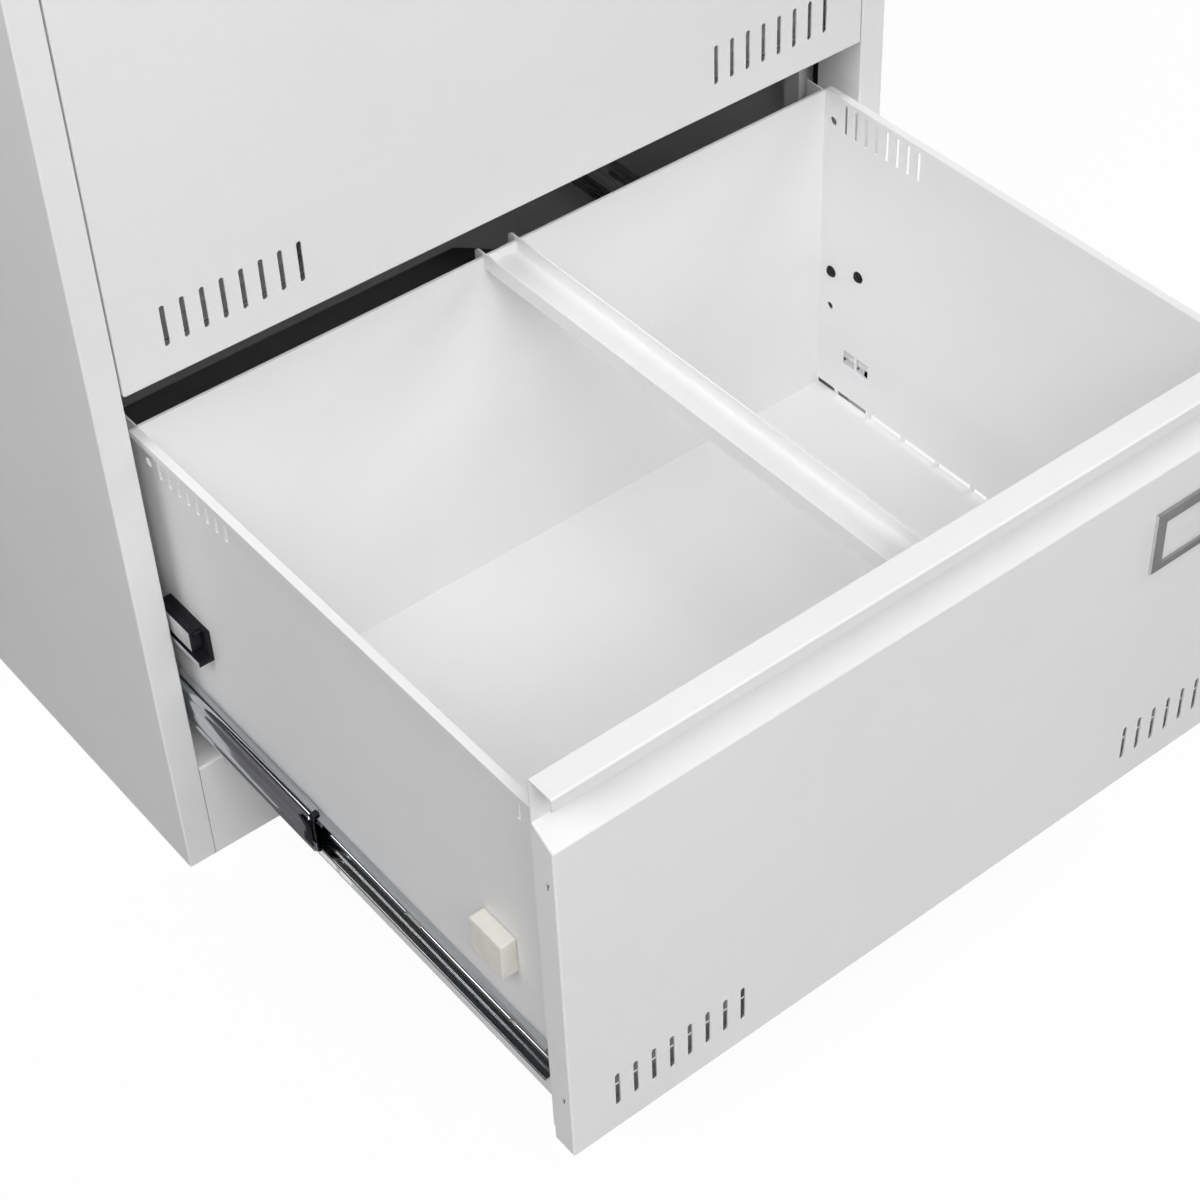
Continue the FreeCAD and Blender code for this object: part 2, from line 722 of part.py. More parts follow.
def foot_brackets():
    """Four angles on the side panels, each holding a foot's stud."""
    brackets = []
    for name, side, y in foot_places():
        wall = f"({HALF} - Size.sheet)"
        x = f"{side} * ({wall} - Size.bracket_leg / 2 - Size.bracket_sheet / 2)"
        low = f"{wall} - Size.bracket_leg" if side > 0 else f"-{wall}"
        start = f"{y} - Size.bracket_width / 2"
        flat = block(f"flat_{name}", (low, start, "Size.bracket_level"),
                     ("Size.bracket_leg", "Size.bracket_width", "Size.bracket_sheet"))
        edge = f"{wall} - Size.bracket_sheet" if side > 0 else f"-{wall}"
        leg = block(f"leg_{name}", (edge, start, "Size.bracket_level"),
                    ("Size.bracket_sheet", "Size.bracket_width", "Size.bracket_leg"))
        hole = rod(f"hole_{name}", "Z", (x, y, "Size.bracket_level"), "Size.stud_radius + Size.seam",
                   "Size.bracket_sheet")
        brackets.append(cut(f"bracket_{name}", joined(f"angle_{name}", [flat, leg]), hole))
    group("foot_brackets", brackets)


def counterweight():
    """A steel bar on the cabinet's floor, at the back."""
    y = f"{FRONT_Y} + Size.cabinet_depth - 2 * Size.sheet - Size.ballast_gap - Size.ballast_depth"
    bar = block("counterweight", ("-Size.ballast_width / 2", y, SHELF),
                ("Size.ballast_width", "Size.ballast_depth", "Size.ballast_height"))
    node(bar, "counterweight")


# Drawers, in coordinates that start at the face of the front and at its lower edge

class Drawer:
    """One drawer: its place in the cabinet and how far it is pulled out."""

    def __init__(self, name, storey, opening):
        self.name = name
        pitch = "(Size.front_height + Size.front_gap)"
        self.level = f"(Size.plinth_height + Size.front_gap + {storey} * {pitch})"
        self.opening = opening
        self.y = f"({FRONT_Y} - {opening})"
        self.mid_y = f"({FRONT_Y} - {opening} * Size.mid_share)"

    def body(self, label):
        """A body that moves with the drawer."""
        return new_body(f"{self.name}_{label}", "0", self.y, self.level)


def drawer_front(drawer):
    """The folded front, with the finger pull above its face and returns at both ends."""
    body = drawer.body("front")
    slope_end = "(Size.face_height + Size.slope_height)"
    shift = "tan(atan(Size.pull_depth / Size.slope_height) / 2) * Size.sheet"
    under = "(Size.front_height - Size.sheet)"
    lip = "(Size.sheet - Size.pull_overhang)"
    lip_end = "(Size.front_height - Size.lip_height)"
    back = "(Size.pull_depth + Size.sheet)"
    slope = [("0", "Size.face_height"), ("Size.pull_depth", slope_end)]
    upturn = "(Size.return_depth - Size.sheet)"
    outline = [("Size.return_depth", "Size.upturn_height"), ("Size.return_depth", "0"), ("0", "0"), *slope,
               ("Size.pull_depth", under), (lip, under), (lip, lip_end), ("-Size.pull_overhang", lip_end),
               ("-Size.pull_overhang", "Size.front_height"), (back, "Size.front_height"),
               (back, f"{slope_end} - {shift}"), ("Size.sheet", f"Size.face_height - {shift}"),
               ("Size.sheet", "Size.sheet"), (upturn, "Size.sheet"), (upturn, "Size.upturn_height")]
    pad(body, "YZ_Plane", f"-{FRONT_HALF}", f"2 * {FRONT_HALF}", polygons(outline))
    end_return = [("0", "0"), *slope, ("Size.return_depth", slope_end), ("Size.return_depth", "0")]
    for start in (f"-{FRONT_HALF}", f"{FRONT_HALF} - Size.sheet"):
        pad(body, "YZ_Plane", start, "Size.sheet", polygons(end_return))
    folds = [("0", "0"), ("-Size.pull_overhang", "Size.front_height"), (back, "Size.front_height"),
             ("0", "Size.face_height")]
    round_folds(body, 0, folds)
    round_folds(body, 2, [(f"-{FRONT_HALF}", "0"), (FRONT_HALF, "0")])
    for side in SIDES.values():
        def vent(sketch, side=side):
            x = f"{side} * ({FRONT_HALF} - Size.vent_inset)"
            slot(sketch, x, "Size.vent_bottom", "Size.vent_width", "Size.vent_length")

        first = pocket(body, "XZ_Plane", "-Size.sheet", "3 * Size.sheet", vent)
        repeat(body, first, "H_Axis", "Size.vent_pitch", "Size.vent_count", backwards=side > 0)

    marks = []
    for level in ("Size.lance_low", "Size.lance_high"):
        marks.append(centred("Size.lance_depth", level, "Size.lance_width", "Size.lance_height"))
    across = f"2 * ({FRONT_HALF} + Size.sheet)"
    pocket(body, "YZ_Plane", f"-{FRONT_HALF} - Size.sheet", across, polygons(*marks))


def front_liner(drawer):
    """The inner panel between the drawer's sides, which the file rail hooks over."""
    body = drawer.body("front_liner")
    outline = rectangle(f"-{INSIDE}", FLOOR, INSIDE, "Size.back_top")
    pad(body, "XZ_Plane", "Size.liner_depth", "Size.sheet", polygons(outline))
    foot = rectangle(f"-{INSIDE}", FLOOR, INSIDE, f"{FLOOR} + Size.sheet")
    pad(body, "XZ_Plane", "Size.return_depth", "Size.liner_depth - Size.return_depth", polygons(foot))


def floor_slots():
    """The row of slots along the lower edge of a side wall, from the back panel forwards."""
    slots = []
    full = ["Size.floor_slot_length"] * int(value("Size.floor_slot_count"))
    end = f"{BOX_DEPTH} - Size.floor_slot_inset"
    for length in ["Size.floor_slot_first", *full, "Size.floor_slot_last"]:
        start = f"{end} - {length}"
        slots.append(rectangle(start, FLOOR, end, f"{FLOOR} + Size.floor_slot_height"))
        end = f"{start} - Size.floor_slot_bridge"
    return slots


def comb_slot(y):
    """One upright slot high in a side wall, seen from the side."""
    top = "(Size.wall_top - Size.comb_drop)"
    half = "Size.comb_width / 2"
    return rectangle(f"{y} - {half}", f"{top} - Size.comb_length", f"{y} + {half}", top)


def drawer_side(drawer, name, side):
    """A folded side wall with its top flange, its floor flange and its holes."""
    body = drawer.body(f"{name}_side")
    flange = f"({INSIDE} + Size.wall_flange)"
    path = [(f"{INSIDE} - Size.floor_flange", "Size.box_bottom"), (INSIDE, "Size.box_bottom"),
            (INSIDE, "Size.wall_top"), (flange, "Size.wall_top"), (flange, "Size.wall_top - Size.wall_lip")]
    # the path is walked the other way so that the sheet lies outside it
    outline = mirrored(strip(path[::-1]), side)
    pad(body, "XZ_Plane", "Size.return_depth", f"{BOX_END} - Size.return_depth", polygons(outline))
    end_flange = mirrored(rectangle(INSIDE, "Size.box_bottom", FRONT_HALF, "Size.face_height"), side)
    pad(body, "XZ_Plane", "Size.return_depth", "Size.sheet", polygons(end_flange))

    cut_depth = "3 * Size.sheet"
    cut_start = f"{INSIDE} - Size.sheet" if side > 0 else f"-{INSIDE} - 2 * Size.sheet"
    comb = f"({BOX_DEPTH} - Size.comb_start)"
    wall_cuts = [comb_slot("Size.front_comb_depth")]
    for i in range(2):
        middle = f"({BOX_DEPTH} - Size.window_inset - {i} * Size.window_spacing)"
        wall_cuts.append(centred(middle, "Size.window_level", "Size.window_width", "Size.window_height"))
    wall_cuts += floor_slots()

    def holes(sketch):
        for outline in wall_cuts:
            polygon(sketch, outline)
        circle(sketch, f"{BOX_DEPTH} - Size.dimple_inset", "Size.wall_top - Size.dimple_drop",
               "Size.dimple_radius")
        circle(sketch, f"{BOX_DEPTH} - Size.pilot_inset", "Size.pilot_level", "Size.pilot_radius")
        for y, z in screw_places():
            circle(sketch, y, z, "Size.screw_radius + Size.screw_gap")

    pocket(body, "YZ_Plane", cut_start, cut_depth, holes)
    slot_cut = pocket(body, "YZ_Plane", cut_start, cut_depth, polygons(comb_slot(comb)))
    repeat(body, slot_cut, "H_Axis", "Size.comb_pitch", "Size.comb_count", backwards=True)
    flange_start = f"{INSIDE} - Size.sheet" if side > 0 else f"-{flange} - Size.sheet"

    def corner(sketch):
        round_corner(sketch, BOX_END, "Size.wall_top", "Size.corner_radius")

    pocket(body, "YZ_Plane", flange_start, "Size.wall_flange + 2 * Size.sheet", corner)


def drawer_back(drawer):
    """The back panel, with a hem turned down along its top and a return at each end."""
    body = drawer.body("back")
    hem = f"({BOX_DEPTH} + Size.sheet)"
    panel = rectangle(f"-{INSIDE}", FLOOR, INSIDE, "Size.back_top")
    pad(body, "XZ_Plane", BOX_DEPTH, "Size.sheet", polygons(panel))
    fold = rectangle(f"-{INSIDE}", "Size.back_top - Size.hem_height", INSIDE, "Size.back_top")
    pad(body, "XZ_Plane", hem, "Size.sheet", polygons(fold))
    for side in SIDES.values():
        end = mirrored(rectangle(f"{INSIDE} - Size.sheet", FLOOR, INSIDE, "Size.back_top"), side)
        pad(body, "XZ_Plane", hem, "Size.back_return - Size.sheet", polygons(end))


def drawer_bottom(drawer):
    """The floor of the drawer, on the sides' flanges."""
    body = drawer.body("bottom")
    outline = rectangle(f"-{INSIDE}", "Size.return_depth", INSIDE, f"{BOX_DEPTH} + Size.sheet")
    pad(body, "XY_Plane", "Size.box_bottom", "Size.sheet", polygons(outline))


def file_rail(drawer):
    """An open channel across the drawer, with ears that hook over the liner and the back."""
    body = drawer.body("file_rail")
    left = "(Size.rail_offset - Size.rail_width / 2)"
    right = "(Size.rail_offset + Size.rail_width / 2 - Size.rail_sheet)"
    front_gap = f"({LINER_BACK} + Size.rail_gap)"
    back_gap = f"({BOX_DEPTH} - Size.rail_gap)"
    over = "(Size.back_top + Size.rail_gap)"
    liner = "(Size.liner_depth - Size.rail_gap)"
    rear = f"({BOX_DEPTH} + 2 * Size.sheet + Size.rail_gap)"
    drop = "(Size.back_top - Size.ear_drop)"
    outline = [(front_gap, "Size.rail_web"), (back_gap, "Size.rail_web"), (back_gap, over), (rear, over),
               (rear, drop), (f"{BOX_DEPTH} + Size.ear_reach", drop),
               (f"{BOX_DEPTH} + Size.ear_reach", "Size.rail_top"),
               (f"{LINER_BACK} - Size.ear_reach", "Size.rail_top"), (f"{LINER_BACK} - Size.ear_reach", drop),
               (liner, drop), (liner, over), (front_gap, over)]
    for start in (left, right):
        pad(body, "YZ_Plane", start, "Size.rail_sheet", polygons(outline))
    web = rectangle(left, "Size.rail_web", f"{right} + Size.rail_sheet", "Size.rail_web + Size.rail_sheet")
    pad(body, "XZ_Plane", front_gap, f"{back_gap} - {front_gap}", polygons(web))
    ear_ends = (f"{BOX_DEPTH} + Size.ear_reach", f"{LINER_BACK} - Size.ear_reach")
    round_folds(body, 0, [(end, "Size.rail_top") for end in ear_ends], "Size.ear_radius")


def label_holder(drawer):
    """A frame on the front, hollow behind for the card."""
    body = drawer.body("label_holder")
    right = f"({FRONT_HALF} - Size.label_inset)"
    left = f"({right} - Size.label_width)"
    top = "(Size.label_bottom + Size.label_height)"
    frame = rectangle(left, "Size.label_bottom", right, top)
    pad(body, "XZ_Plane", "-Size.label_depth", "Size.label_depth", polygons(frame))
    window = rectangle(f"{left} + Size.label_border", "Size.label_bottom + Size.label_lower_border",
                       f"{right} - Size.label_border", f"{top} - Size.label_border")
    pocket(body, "XZ_Plane", "-Size.label_depth", "Size.label_depth", polygons(window))
    wall = "Size.label_wall"
    recess = rectangle(f"{left} + {wall}", f"Size.label_bottom + {wall}",
                       f"{right} - {wall}", f"{top} - {wall}")
    depth = "(Size.card_thickness + Size.card_gap)"
    pocket(body, "XZ_Plane", f"-{depth}", f"{depth}", polygons(recess))


def label_card(drawer):
    """The card behind the holder's window."""
    body = drawer.body("label_card")
    inset = "(Size.label_wall + Size.card_gap)"
    right = f"({FRONT_HALF} - Size.label_inset)"
    left = f"({right} - Size.label_width)"
    top = "(Size.label_bottom + Size.label_height)"
    card = rectangle(f"{left} + {inset}", f"Size.label_bottom + {inset}",
                     f"{right} - {inset}", f"{top} - {inset}")
    pad(body, "XZ_Plane", "-Size.card_thickness", "Size.card_thickness", polygons(card))


def screw_places():
    """The places of a block's two screws, as distances from the front's face and lower edge."""
    return ((f"({BOX_DEPTH} - Size.screw_rear_inset)", "Size.screw_rear_level"),
            (f"({BOX_DEPTH} - Size.screw_front_inset)", "Size.screw_front_level"))


def interlock_block(drawer, name, side):
    """A plastic block on the side wall that the interlock rod catches."""
    body = drawer.body(f"interlock_block_{name}")
    wall = BOX_HALF
    out = f"({wall} + Size.block_reach)"
    base = f"({wall} + Size.block_base)"
    low = "Size.block_bottom"
    ledge = f"({low} + Size.block_ledge)"
    roof = f"({ledge} + Size.block_groove)"
    top = f"({low} + Size.block_height)"
    outline = [(wall, low), (out, low), (out, ledge), (base, ledge), (base, roof), (out, roof), (out, top),
               (wall, top)]
    start = f"({BOX_DEPTH} - Size.block_front)"
    pad(body, "XZ_Plane", start, "Size.block_length", polygons(mirrored(outline, side)))
    nose = mirrored(rectangle(base, roof, out, top), side)
    pocket(body, "XZ_Plane", start, "Size.block_nose", polygons(nose))

    def bores(sketch):
        for y, z in screw_places():
            circle(sketch, y, z, "Size.screw_radius + Size.screw_gap")

    depth = "(Size.screw_length - Size.sheet + Size.screw_gap)"
    begin = wall if side > 0 else f"-{wall} - {depth}"
    pocket(body, "YZ_Plane", begin, depth, bores)


def block_screws(drawer):
    """The screws that hold both blocks, with their heads inside the drawer."""
    screws = []
    for name, side in SIDES.items():
        for number, (y, z) in enumerate(screw_places(), 1):
            label = f"{drawer.name}_{name}_screw_{number}"
            place_y, place_z = f"{drawer.y} + {y}", f"{drawer.level} + {z}"
            head_x = f"{INSIDE} - Size.screw_head_height" if side > 0 else f"-{INSIDE}"
            shank_x = INSIDE if side > 0 else f"-{INSIDE} - Size.screw_length"
            head = rod(f"{label}_head", "X", (head_x, place_y, place_z), "Size.screw_head_radius",
                       "Size.screw_head_height")
            shank = rod(f"{label}_shank", "X", (shank_x, place_y, place_z), "Size.screw_radius",
                        "Size.screw_length")
            screws.append(joined(label, [head, shank]))
    group(f"{drawer.name}_block_screws", screws)


def foam_bumpers(drawer):
    """A foam pad on the outside of each side wall, near the front."""
    pads = []
    for name, side in SIDES.items():
        x = BOX_HALF if side > 0 else f"-{BOX_HALF} - Size.bumper_thickness"
        low = (x, f"{drawer.y} + Size.bumper_front", f"{drawer.level} + Size.bumper_bottom")
        size = ("Size.bumper_thickness", "Size.bumper_length", "Size.bumper_height")
        pads.append(block(f"{drawer.name}_{name}_bumper", low, size))
    group(f"{drawer.name}_foam_bumpers", pads)


def channel(near, far, height):
    """A slide member's section: a web at near, and races out to far with turned-in mouths."""
    top = f"(Size.slide_level + {height} / 2)"
    low = f"(Size.slide_level - {height} / 2)"
    return [(far, f"{top} - Size.slide_mouth"), (far, top), (near, top), (near, low), (far, low),
            (far, f"{low} + Size.slide_mouth")]


def round_races(body, path, side):
    """Round the four outer corners of a slide member's section."""
    round_folds(body, 1, mirrored(path[1:5], side), "Size.race_radius")


def slide_outer(drawer, name, side):
    """The slide member on the cabinet's uprights."""
    body = new_body(f"{drawer.name}_slide_outer_{name}", "0", FRONT_Y, drawer.level)
    path = channel(UPRIGHT_X, f"({UPRIGHT_X} - Size.outer_reach)", "Size.outer_height")
    outline = mirrored(strip(path[::-1], "Size.slide_sheet"), side)
    pad(body, "XZ_Plane", "Size.slide_start", SLIDE_LENGTH, polygons(outline))
    round_races(body, path, side)


def slide_mid(drawer, name, side):
    """The middle slide member, which runs inside the outer one."""
    body = new_body(f"{drawer.name}_slide_mid_{name}", "0", drawer.mid_y, drawer.level)
    near = f"({UPRIGHT_X} - Size.mid_gap)"
    path = channel(near, f"({near} - Size.mid_reach)", "Size.mid_height")
    outline = mirrored(strip(path[::-1], "Size.slide_sheet"), side)
    pad(body, "XZ_Plane", "Size.slide_start", SLIDE_LENGTH, polygons(outline))
    round_races(body, path, side)


def slide_inner(drawer, name, side):
    """The slide member on the drawer's side wall."""
    body = drawer.body(f"slide_inner_{name}")
    path = channel(BOX_HALF, f"({BOX_HALF} + Size.inner_reach)", "Size.inner_height")
    outline = mirrored(strip(path, "Size.slide_sheet"), side)
    pad(body, "XZ_Plane", "Size.inner_start", f"{BOX_END} - Size.inner_start", polygons(outline))
    round_races(body, path, side)


def slide_end_stops(drawer):
    """A plastic stop in the front end of each middle member."""
    stops = []
    for name, side in SIDES.items():
        web = f"({UPRIGHT_X} - Size.mid_gap - Size.slide_sheet)"
        x = f"{web} - Size.stop_thickness" if side > 0 else f"-{web}"
        height = "(Size.mid_height - 2 * Size.slide_sheet - 2 * Size.stop_gap)"
        y = f"{drawer.mid_y} + Size.slide_start - Size.stop_proud"
        low = (x, y, f"{drawer.level} + Size.slide_level - {height} / 2")
        size = ("Size.stop_thickness", "Size.stop_length", height)
        stops.append(block(f"{drawer.name}_{name}_stop", low, size))
    group(f"{drawer.name}_slide_end_stops", stops)


def build_cabinet():
    """The fixed shell, the lock and the base."""
    for name, side in SIDES.items():
        side_panel(name, side)
        front_upright(name, side)
        rear_upright(name, side)
        interlock_rod(name, side)
    back_panel()
    top_panel()
    bottom_panel()
    plinth_rail()
    top_rail()
    lock_housing()
    lock_plug()
    lock_cam()
    key()
    levelling_feet()
    foot_brackets()
    counterweight()


def build_drawer(drawer):
    """One drawer with its slides, rail and fittings."""
    drawer_front(drawer)
    front_liner(drawer)
    drawer_back(drawer)
    drawer_bottom(drawer)
    file_rail(drawer)
    label_holder(drawer)
    label_card(drawer)
    for name, side in SIDES.items():
        drawer_side(drawer, name, side)
        interlock_block(drawer, name, side)
        slide_outer(drawer, name, side)
        slide_mid(drawer, name, side)
        slide_inner(drawer, name, side)
    block_screws(drawer)
    foam_bumpers(drawer)
    slide_end_stops(drawer)


def write_parts():
    """Check every object and every sub-part, then write the files."""
    DOC.recompute()
    for item in DOC.Objects:
        check(item)
    for item in NODES:
        if item.Shape.isNull() or not item.Shape.isValid():
            raise RuntimeError(f"{item.Label} has no valid shape")
    os.makedirs("parts", exist_ok=True)
    for item in NODES:
        item.Shape.exportStep(f"parts/{item.Label}.step")
        box = item.Shape.BoundBox
        print(f"{item.Label}: {len(item.Shape.Solids)} solid(s), X {box.XMin:.1f} to {box.XMax:.1f},"
              f" Y {box.YMin:.1f} to {box.YMax:.1f}, Z {box.ZMin:.1f} to {box.ZMax:.1f}")


build_cabinet()
build_drawer(Drawer("lower", 0, OPENING))
build_drawer(Drawer("upper", 1, "0"))
write_parts()
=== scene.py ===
# %% [markdown]
# A two-drawer lateral filing cabinet in folded sheet steel, with its lower drawer pulled out.
# The engineering model gives every piece its place and its size. This script adds what such a
# model leaves out: paint, plating, plastic, foam, rolled slide sections, balls and screw heads.
# First the imported model is loaded.

# %% Load the imported model
import json
import math
import bmesh
import bpy
from mathutils import Matrix, Vector, noise as field


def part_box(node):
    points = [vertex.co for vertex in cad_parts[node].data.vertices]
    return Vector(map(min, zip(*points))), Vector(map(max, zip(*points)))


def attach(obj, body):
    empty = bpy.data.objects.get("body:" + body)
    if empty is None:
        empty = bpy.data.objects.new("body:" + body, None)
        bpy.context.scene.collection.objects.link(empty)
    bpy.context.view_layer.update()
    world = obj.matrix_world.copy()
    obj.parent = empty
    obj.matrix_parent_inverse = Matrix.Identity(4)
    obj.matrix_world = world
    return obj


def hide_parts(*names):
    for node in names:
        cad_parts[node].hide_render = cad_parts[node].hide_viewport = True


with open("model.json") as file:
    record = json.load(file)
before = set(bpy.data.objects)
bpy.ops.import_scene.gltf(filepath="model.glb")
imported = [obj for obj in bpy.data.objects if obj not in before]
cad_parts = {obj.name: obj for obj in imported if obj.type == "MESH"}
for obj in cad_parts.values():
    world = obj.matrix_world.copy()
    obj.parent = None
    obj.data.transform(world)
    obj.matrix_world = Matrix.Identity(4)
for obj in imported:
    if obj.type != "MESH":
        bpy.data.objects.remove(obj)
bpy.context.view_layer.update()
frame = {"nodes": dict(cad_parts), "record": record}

MM = 0.001
NODES = frame["nodes"]

# %% [markdown]
# The picture is a product photograph on plain white, taken from the left, in front and above.
# The camera's place and direction come from lines of the cabinet that are known to be parallel
# or square to each other. A camera can be aimed with a constraint, but a photograph fixes its
# roll too, so its three axes are written out. The lens is long: edges converge only a little.

# %% Camera
CAMERA_PLACE = Vector((-0.75911, -1.11496, 1.32766))
CAMERA_RIGHT = Vector((0.77247, -0.63476, -0.01925))
CAMERA_FORWARD = Vector((0.44668, 0.56464, -0.69401))
LENS_MM = 79.29
SHIFT = -0.05


def add_camera():
    """A camera whose three axes are given as directions in the cabinet's frame."""
    data = bpy.data.cameras.new("camera")
    data.lens = LENS_MM
    data.sensor_width = 36
    data.shift_x = SHIFT
    data.clip_start = 0.05
    data.clip_end = 30
    camera = bpy.data.objects.new("camera", data)
    bpy.context.scene.collection.objects.link(camera)
    back = -CAMERA_FORWARD.normalized()
    right = (CAMERA_RIGHT - CAMERA_RIGHT.dot(back) * back).normalized()
    up = back.cross(right)
    turn = Matrix((right, up, back)).transposed()
    camera.matrix_world = Matrix.Translation(CAMERA_PLACE) @ turn.to_4x4()
    bpy.context.scene.camera = camera
    return camera


camera = add_camera()
print("camera at", [round(v, 3) for v in camera.location], "lens", LENS_MM, "mm")

# %% [markdown]
# Studio light for a white object is soft and comes from several sides, so that every face has
# its own shade of white and every fold can be read. Four wide lamps do that: two in front, one
# of them steep, and one high on either side. The side that the camera sees from the left gets
# the least. A dim card and a small bright strip stand behind the cabinet: they hardly light the
# paint, but the rolled metal reflects them as long bright lines. The world is plain white
# paper to the camera, but dark to the object: that keeps the shadows deep and gives the bright
# metal its black bands, as in a studio with few lamps.

# %% World and lamps
scene = bpy.context.scene
scene.view_settings.view_transform = "Standard"
WORLD_LIGHT = 0.05
PAPER_LIGHT = 1


def mixed(nodes, links, factor, one, two):
    """A shader that goes from one to another as a factor goes from 0 to 1."""
    mix = nodes.new("ShaderNodeMixShader")
    for source, socket in zip((factor, one, two), mix.inputs):
        links.new(source, socket)
    return mix.outputs[0]


def add_world():
    """Soft fill light on the object, and plain white behind it."""
    world = bpy.data.worlds.new("studio")
    scene.world = world
    world.use_nodes = True
    nodes, links = world.node_tree.nodes, world.node_tree.links
    nodes.clear()
    backgrounds = []
    for strength in (WORLD_LIGHT, PAPER_LIGHT):
        background = nodes.new("ShaderNodeBackground")
        background.inputs["Color"].default_value = (1, 1, 1, 1)
        background.inputs["Strength"].default_value = strength
        backgrounds.append(background.outputs[0])
    camera_ray = nodes.new("ShaderNodeLightPath").outputs["Is Camera Ray"]
    out = nodes.new("ShaderNodeOutputWorld")
    links.new(mixed(nodes, links, camera_ray, *backgrounds), out.inputs["Surface"])


def add_lamp(name, place, target, size, power):
    """A square soft lamp that points at a target."""
    data = bpy.data.lights.new(name, "AREA")
    data.size = size
    data.energy = power
    lamp = bpy.data.objects.new(name, data)
    scene.collection.objects.link(lamp)
    lamp.location = place
    lamp.rotation_euler = (Vector(target) - Vector(place)).to_track_quat("-Z", "Y").to_euler()
    lamp.visible_camera = False


add_world()
add_lamp("front", (-0.5, -3.4, 2.4), (0, -0.2, 0.3), 1.8, 41)
add_lamp("slanting", (-1.3, -2.4, 3.0), (0, 0, 0.3), 1.6, 45)
add_lamp("left", (-2.4, -0.6, 3.0), (0, -0.2, 0.3), 1.8, 44)
add_lamp("right", (3.0, -0.8, 2.2), (0, -0.2, 0.3), 1.8, 61)
add_lamp("card", (1.1, 1.4, 2.25), (-0.27, -0.3, 0.15), 1.5, 3)
add_lamp("strip", (-2.21, 1.28, 1.4), (-0.27, -0.3, 0.15), 0.55, 3.0)

# %% [markdown]
# The floor is to shine everywhere but under the cabinet, where the gaps of the cabinet show it
# dark. A few math nodes compare the place on the floor with the cabinet's footprint. A painted
# mask would do too, but this one follows the cabinet's size.

# %% Mask of the open floor
def between(nodes, links, number, low, high):
    """1 where a number lies between two limits, 0 elsewhere."""
    node = nodes.new("ShaderNodeMath")
    node.operation = "COMPARE"
    links.new(number, node.inputs[0])
    node.inputs[1].default_value = (low + high) / 2
    node.inputs[2].default_value = (high - low) / 2
    return node.outputs[0]


def product(nodes, links, one, two):
    """The product of two sockets, or of a socket and a number."""
    node = nodes.new("ShaderNodeMath")
    node.operation = "MULTIPLY"
    links.new(one, node.inputs[0])
    if isinstance(two, (int, float)):
        node.inputs[1].default_value = two
    else:
        links.new(two, node.inputs[1])
    return node.outputs[0]


def outside_footprint(nodes, links):
    """1 on the open floor, 0 under the cabinet."""
    side_low, side_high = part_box("top_panel")
    place = nodes.new("ShaderNodeSeparateXYZ")
    links.new(nodes.new("ShaderNodeTexCoord").outputs["Object"], place.inputs[0])
    across = between(nodes, links, place.outputs["X"], side_low.x, side_high.x)
    along = between(nodes, links, place.outputs["Y"], side_low.y, side_high.y)
    open_floor = nodes.new("ShaderNodeMath")
    open_floor.operation = "SUBTRACT"
    open_floor.inputs[0].default_value = 1
    links.new(product(nodes, links, across, along), open_floor.inputs[1])
    return open_floor.outputs[0]


# %% [markdown]
# The floor is a pale sheet that is almost as white as the paper behind it. To the camera most
# of it shines by itself, which hides its edge, and the rest is lit by the lamps, so the
# cabinet's shadow stays faintly on it. Polished steel mirrors the floor darker than the camera
# sees it, which gives the slides their black bands. A shadow catcher would hide the floor as
# well, but only in a picture that is put together afterwards.

# %% Floor
FLOOR_SIZE = 8.0
FLOOR_TONE = (0.58, 0.58, 0.58)
MIRRORED_TONE = (0.2, 0.2, 0.21)
FLOOR_GLOW = 0.9
GLOW_STRENGTH = 1.05


def add_floor():
    """A square floor marked as the stage."""
    half = FLOOR_SIZE / 2
    mesh = bpy.data.meshes.new("floor")
    mesh.from_pydata([(-half, -half, 0), (half, -half, 0), (half, half, 0), (-half, half, 0)],
                     [], [(0, 1, 2, 3)])
    floor = bpy.data.objects.new("floor", mesh)
    scene.collection.objects.link(floor)
    material = bpy.data.materials.new("floor_paper")
    material.use_nodes = True
    nodes, links = material.node_tree.nodes, material.node_tree.links
    nodes.clear()
    lit = nodes.new("ShaderNodeBsdfDiffuse")
    lit.inputs["Color"].default_value = (*FLOOR_TONE, 1)
    glow = nodes.new("ShaderNodeEmission")
    glow.inputs["Strength"].default_value = GLOW_STRENGTH
    dark = nodes.new("ShaderNodeBsdfDiffuse")
    dark.inputs["Color"].default_value = (*MIRRORED_TONE, 1)
    path = nodes.new("ShaderNodeLightPath")
    shining = product(nodes, links, path.outputs["Is Camera Ray"], outside_footprint(nodes, links))
    share = product(nodes, links, shining, FLOOR_GLOW)
    seen = mixed(nodes, links, share, lit.outputs[0], glow.outputs[0])
    surface = mixed(nodes, links, path.outputs["Is Glossy Ray"], seen, dark.outputs[0])
    out = nodes.new("ShaderNodeOutputMaterial")
    links.new(surface, out.inputs["Surface"])
    mesh.materials.append(material)


add_floor()
print("floor:", FLOOR_SIZE, "m square")

# %% [markdown]
# Every finish here has small, uneven detail that repeats nowhere. Two effects serve more than
# one material, so each is a node group with named inputs: a grain that is the same in all
# directions, and streaks drawn out along Y, as rolling leaves them on strip steel. A picture
# could carry such detail too, but it would blur or repeat in a close view.

